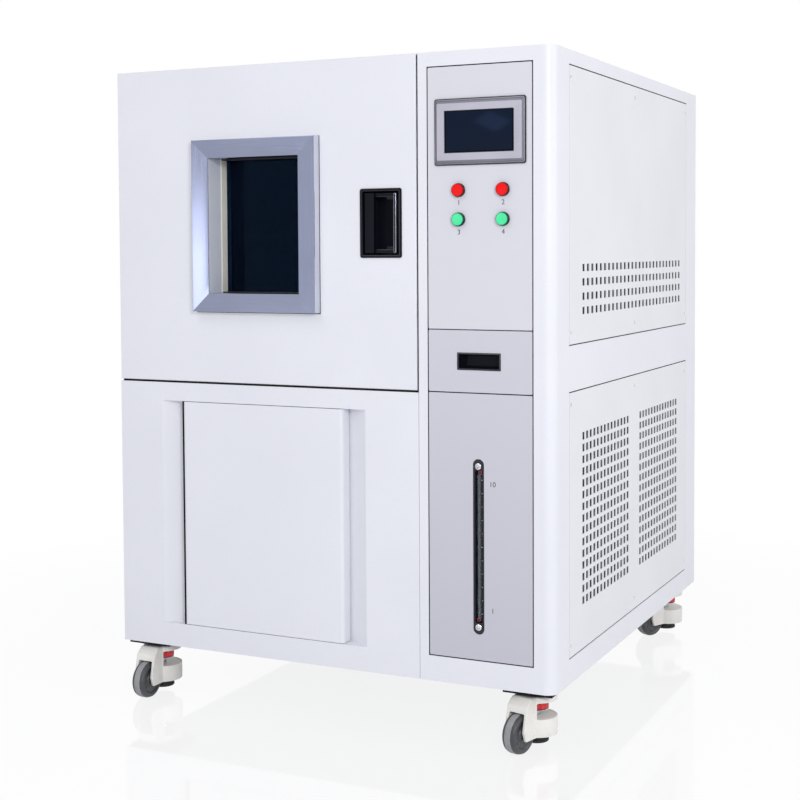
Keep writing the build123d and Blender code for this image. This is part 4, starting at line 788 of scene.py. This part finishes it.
wheel_low, wheel_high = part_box("caster_wheel_front_left")
axle_height = (wheel_low.z + wheel_high.z) / 2
trail_length = (middle("caster_wheel_front_left") - middle("levelling_foot_front_left")).xy.length
foot_low, foot_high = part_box("levelling_foot_front_left")
pad_radius = (foot_high.x - foot_low.x) / 2 / MM
housing_data = softened("caster_housing_front_left", "caster_housing_moulded", 1.2, 4)
housing_data.transform(caster_stand("front_left").inverted())
housing_data.materials.clear()
housing_data.materials.append(cream_nylon)
housing_data.shade_smooth()
for corner in corners:
    stand = caster_stand(corner)
    data = housing_data.copy()
    data.transform(stand)
    housing = bpy.data.objects.new("caster_fork_" + corner, data)
    bpy.context.scene.collection.objects.link(housing)
    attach(housing, "caster_" + corner)
    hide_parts("caster_housing_" + corner)

    mesh = bmesh.new()
    wheel_place = stand @ facing_side(0, -trail_length, axle_height)
    turned(mesh, wheel_place, [
        (6.1, -16, 1), (15, -16, 1), (16, -15.4, 1), (18, -12.6, 1), (28, -12.2, 1), (31, -15, 1),
        (33, -16, 1),
        (37, -15.6, 1), (39.6, -13.6, 1), (41.0, -10.4, 1), (41.2, -8.6, 1), (40.8, -8.2, 1), (41.6, -7.6, 0),
        (42.0, -6.6, 0), (42.0, 6.6, 0), (41.6, 7.6, 0), (40.8, 8.2, 1), (41.2, 8.6, 1), (41.0, 10.4, 1),
        (39.6, 13.6, 1), (37, 15.6, 1), (33, 16, 1), (31, 15, 1), (28, 12.2, 1), (18, 12.6, 1), (16, 15.4, 1),
        (15, 16, 1), (6.1, 16, 1),
    ], steps=18, closed=True)
    for step in range(5):
        angle = 2 * math.pi * step / 5
        for side in (-1, 1):
            spot = facing_side(side * 12.4 * MM, 23 * math.cos(angle) * MM - trail_length,
                               23 * math.sin(angle) * MM + axle_height, side)
            turned(mesh, stand @ spot, [(3.2, -1, 1), (3.2, 0.5, 1), (2.4, 1.0, 1)], steps=4)
    piece("caster_tyre_" + corner, mesh, [tread, wheel_side], "wheel_" + corner,
          ["caster_wheel_" + corner], sharp=30)

    mesh = bmesh.new()
    place = stand @ upright(0, 0, foot_low.z)
    turned(mesh, place, [
        (pad_radius - 3, 0, 0), (pad_radius - 1, 0.2, 0), (pad_radius, 1.4, 0), (pad_radius, 4.6, 0),
        (pad_radius - 0.8, 5.6, 0), (pad_radius - 2.2, 6.0, 0), (pad_radius - 3, 11, 0),
        (pad_radius - 4.4, 13.4, 0), (12, 14, 0), (9.6, 14.4, 1), (9.6, 17.6, 1), (7.9, 17.8, 1),
        (7.9, 62, 1),
        (7.9, 68.4, 1), (26.0, 68.6, 1), (26.6, 69.2, 1), (26.6, 70.0, 1), (26.0, 70.6, 1),
        (14, 70.8, 1), (14, 73, 1),
    ], steps=12)
    rim, waist, scallops = 26.9, 24.6, 14
    wheel_loops = []
    for radius_cut, height in ((2, 71), (0, 72.6), (0, 85.2), (1.6, 86.8), (12, 87)):
        loop = []
        for step in range(scallops * 8):
            angle = 2 * math.pi * step / (scallops * 8)
            wave = 0.5 + 0.5 * math.cos(scallops * angle)
            r = waist + (rim - waist) * wave ** 0.4 - radius_cut
            spot = Vector((r * math.cos(angle), r * math.sin(angle), height)) * MM
            loop.append(mesh.verts.new(place @ spot))
        wheel_loops.append(loop)
    for before, after in zip(wheel_loops, wheel_loops[1:]):
        for i in range(len(before)):
            j = (i + 1) % len(before)
            mesh.faces.new((before[i], before[j], after[j], after[i])).material_index = 2
    mesh.faces.new(wheel_loops[0][::-1]).material_index = 2
    mesh.faces.new(wheel_loops[-1]).material_index = 2
    piece("foot_and_thumbwheel_" + corner, mesh, [black_rubber, zinc, red_nylon], "foot_" + corner,
          ["levelling_foot_" + corner], sharp=40)


# Catches: two black nylon pads in the gap beside the door

door_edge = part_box("door_shell")[1].x
catch_heights = {"upper": 1184, "lower": 789}
for name, above in catch_heights.items():
    mesh = bmesh.new()
    centre_z = cabinet_corner.z + above * MM
    block(mesh, (door_edge + 0.3 * MM, front + 3 * MM, centre_z - 7 * MM),
          (door_edge + 2.9 * MM, front + 30 * MM, centre_z + 7 * MM), 0.6)
    piece("door_stop_" + name, mesh, [black_nylon], "cabinet")


# Seams: dark strips in the gaps between the panels, painted as the shade in the gaps

def frame_strip(mesh, place, half_x, half_y, width, low, high, finish=0):
    """A flat closed frame of a given width round a rectangle, between two heights, in mm."""
    for sign in (-1, 1):
        for along, across, turned_over in ((half_x + width, half_y, False), (half_y, half_x, True)):
            near, far = sorted((sign * across, sign * (across + width)))
            one, two = (-along, near, low), (along, far, high)
            if turned_over:
                one, two = (near, -along, low), (far, along, high)
            ends = [place @ (Vector(end) * MM) for end in (one, two)]
            block(mesh, [min(a, b) for a, b in zip(*ends)], [max(a, b) for a, b in zip(*ends)], 0, finish)


fascia_low, fascia_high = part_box("column_fascias")
fascia_centre = (fascia_low + fascia_high) / 2
fascia_half = (fascia_high - fascia_low) / 2 / MM
mesh = bmesh.new()
frame_strip(mesh, facing_front(fascia_centre.x, front, fascia_centre.z), fascia_half.x + 0.1,
            fascia_half.z + 0.1, 2.3, -1.9, -0.3)
piece("fascia_seam", mesh, [seam_shade_black], "cabinet")

drawer_low, drawer_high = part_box("drawer_front")
mesh = bmesh.new()
for z_low, z_high in ((drawer_high.z + 0.3 * MM, drawer_high.z + 1.6 * MM),
                      (drawer_low.z - 2.2 * MM, drawer_low.z - 0.3 * MM)):
    block(mesh, (fascia_low.x + 0.2 * MM, front + 0.5 * MM, z_low),
          (fascia_high.x - 0.2 * MM, front + 1.9 * MM, z_high), 0)
piece("drawer_seam", mesh, [seam_shade_black], "cabinet")

mesh = bmesh.new()
for low, high in ((panel_low, panel_high), (upper_low, upper_high)):
    block(mesh, (side_x - 1.9 * MM, low.y - 0.5 * MM, high.z + 0.1 * MM),
          (side_x - 0.3 * MM, high.y + 0.5 * MM, high.z + 2.4 * MM), 0)
    block(mesh, (side_x - 1.9 * MM, low.y - 0.5 * MM, low.z - 2.4 * MM),
          (side_x - 1.2 * MM, high.y + 0.5 * MM, low.z - 0.1 * MM), 0)
piece("side_seam", mesh, [seam_shade_black], "cabinet")

# Black felt sheets inside the side panels' slots, painted dark as the shade inside the machine
mesh = bmesh.new()
for low, high in ((panel_low, panel_high), (upper_low, upper_high)):
    block(mesh, (low.x - 3 * MM, low.y + 30 * MM, low.z + 30 * MM),
          (low.x - 0.6 * MM, high.y - 30 * MM, high.z - 30 * MM), 0.4)
piece("side_slot_shade_sheets", mesh, [slot_shade_felt], "cabinet")

column_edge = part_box("column_shell")[0].x
shell_low, shell_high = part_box("door_shell")
mesh = bmesh.new()
block(mesh, (door_edge + 0.4 * MM, front + 3 * MM, shell_low.z - 1 * MM),
      (column_edge - 0.1 * MM, front + 12 * MM, shell_high.z - 4 * MM), 1)
block(mesh, (shell_low.x + 6 * MM, front + 1.2 * MM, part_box("lower_front_panel")[1].z + 0.1 * MM),
      (column_edge - 0.1 * MM, front + 12 * MM, shell_low.z - 0.4 * MM), 1)
piece("door_seam", mesh, [seam_shade_black], "cabinet")

access_low, access_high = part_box("access_door")
mesh = bmesh.new()
block(mesh, (access_low.x - 1.5 * MM, access_low.y + 0.6 * MM, access_low.z + 4 * MM),
      (access_low.x - 0.2 * MM, access_low.y + 9 * MM, access_high.z - 2 * MM), 0.5)
piece("access_hinge_seam", mesh, [seam_shade_black], "access_door")
mesh = bmesh.new()
block(mesh, (access_low.x + 4 * MM, access_low.y + 6 * MM, access_high.z + 0.2 * MM),
      (access_high.x - 4 * MM, access_low.y + 22 * MM, access_high.z + 1.4 * MM), 0)
piece("access_top_seam", mesh, [seam_shade_black], "cabinet")
mesh = bmesh.new()
block(mesh, (access_high.x - 3 * MM, access_high.y + 0.1 * MM, access_low.z + 1 * MM),
      (access_high.x - 0.2 * MM, access_high.y + 5.5 * MM, access_high.z - 1 * MM), 0.6)
piece("access_door_lip", mesh, [white_coat], "access_door")


# Floor, light and background

def floor_material():
    """White glossy floor: plain white to the camera, with the object's shadow and a faint reflection."""
    material, tree = new_material("floor_white_gloss")
    path = add(tree, "ShaderNodeLightPath")
    place = add(tree, "ShaderNodeTexCoord").outputs["Object"]
    away = add(tree, "ShaderNodeVectorMath", None, {0: place}, operation="LENGTH").outputs["Value"]
    share = add(tree, "ShaderNodeMapRange", {"From Min": 0.9, "From Max": 2.4, "To Min": 0.07, "To Max": 0.0},
                {"Value": away}, interpolation_type="SMOOTHSTEP")
    plain = add(tree, "ShaderNodeEmission", {"Color": (1, 1, 1, 1), "Strength": 1.0})
    lit = add(tree, "ShaderNodeBsdfDiffuse", {"Color": linear("#f4f5f8")})
    mirror = add(tree, "ShaderNodeBsdfGlossy", {"Color": (1, 1, 1, 1), "Roughness": 0.05})
    base = add(tree, "ShaderNodeMixShader", None,
               {0: share.outputs[0], 1: plain.outputs[0], 2: lit.outputs[0]})
    wet = add(tree, "ShaderNodeMixShader", {0: 0.09}, {1: base.outputs[0], 2: mirror.outputs[0]})
    straight = add(tree, "ShaderNodeMath", None, {0: path.outputs["Is Camera Ray"],
                                                  1: path.outputs["Is Glossy Ray"]}, operation="MAXIMUM")
    shown = add(tree, "ShaderNodeMixShader", None,
                {0: straight.outputs[0], 1: lit.outputs[0], 2: wet.outputs[0]})
    add(tree, "ShaderNodeOutputMaterial", None, {"Surface": shown.outputs[0]})
    return material


floor_half = 14
floor_corners = [(x * floor_half, y * floor_half, 0) for x, y in ((-1, -1), (1, -1), (1, 1), (-1, 1))]
floor_data = bpy.data.meshes.new("floor")
floor_data.from_pydata(floor_corners, [], [(0, 1, 2, 3)])
floor_data.materials.append(floor_material())
floor = bpy.data.objects.new("floor", floor_data)
bpy.context.scene.collection.objects.link(floor)

world = bpy.data.worlds.new("studio")
bpy.context.scene.world = world
world.use_nodes = True
tree = world.node_tree
tree.nodes.clear()
path = add(tree, "ShaderNodeLightPath")
straight = add(tree, "ShaderNodeMath", None, {0: path.outputs["Is Camera Ray"],
                                              1: path.outputs["Is Glossy Ray"]}, operation="MAXIMUM")
clear = add(tree, "ShaderNodeMath", None, {0: straight.outputs[0], 1: path.outputs["Is Transmission Ray"]},
            operation="MAXIMUM")
soft = add(tree, "ShaderNodeBackground", {"Color": linear("#fafaff"), "Strength": 0.5})
plain = add(tree, "ShaderNodeBackground", {"Color": (1, 1, 1, 1), "Strength": 1.0})
sky = add(tree, "ShaderNodeMixShader", None, {0: clear.outputs[0], 1: soft.outputs[0], 2: plain.outputs[0]})
add(tree, "ShaderNodeOutputWorld", None, {"Surface": sky.outputs[0]})


def softbox(name, place, aim, width, height, power, colour):
    """A large soft lamp that faces the aim."""
    lamp = bpy.data.lights.new(name, "AREA")
    lamp.shape = "RECTANGLE"
    lamp.size = width
    lamp.size_y = height
    lamp.energy = power
    lamp.color = linear(colour)[:3]
    made = bpy.data.objects.new(name, lamp)
    bpy.context.scene.collection.objects.link(made)
    made.location = place
    made.rotation_mode = "QUATERNION"
    made.rotation_quaternion = (Vector(aim) - Vector(place)).to_track_quat("-Z", "Y")


softbox("key_box", (3.0, -3.9, 2.1), (0, -0.5, 1.0), 0.7, 0.7, 64, "#ffffff")
softbox("right_box", (4.6, 0.2, 2.6), (0.5, 0.1, 0.7), 2.4, 2.4, 44, "#ffffff")
softbox("low_front_box", (-1.25, -4.6, 0.85), (-0.3, -0.6, 0.95), 1.2, 0.9, 8.5, "#f6f8ff")
softbox("top_front_box", (-0.8, -3.4, 4.2), (0, -0.4, 0.8), 3.0, 2.4, 34, "#fbfbff")

bpy.context.scene.view_settings.view_transform = "Standard"
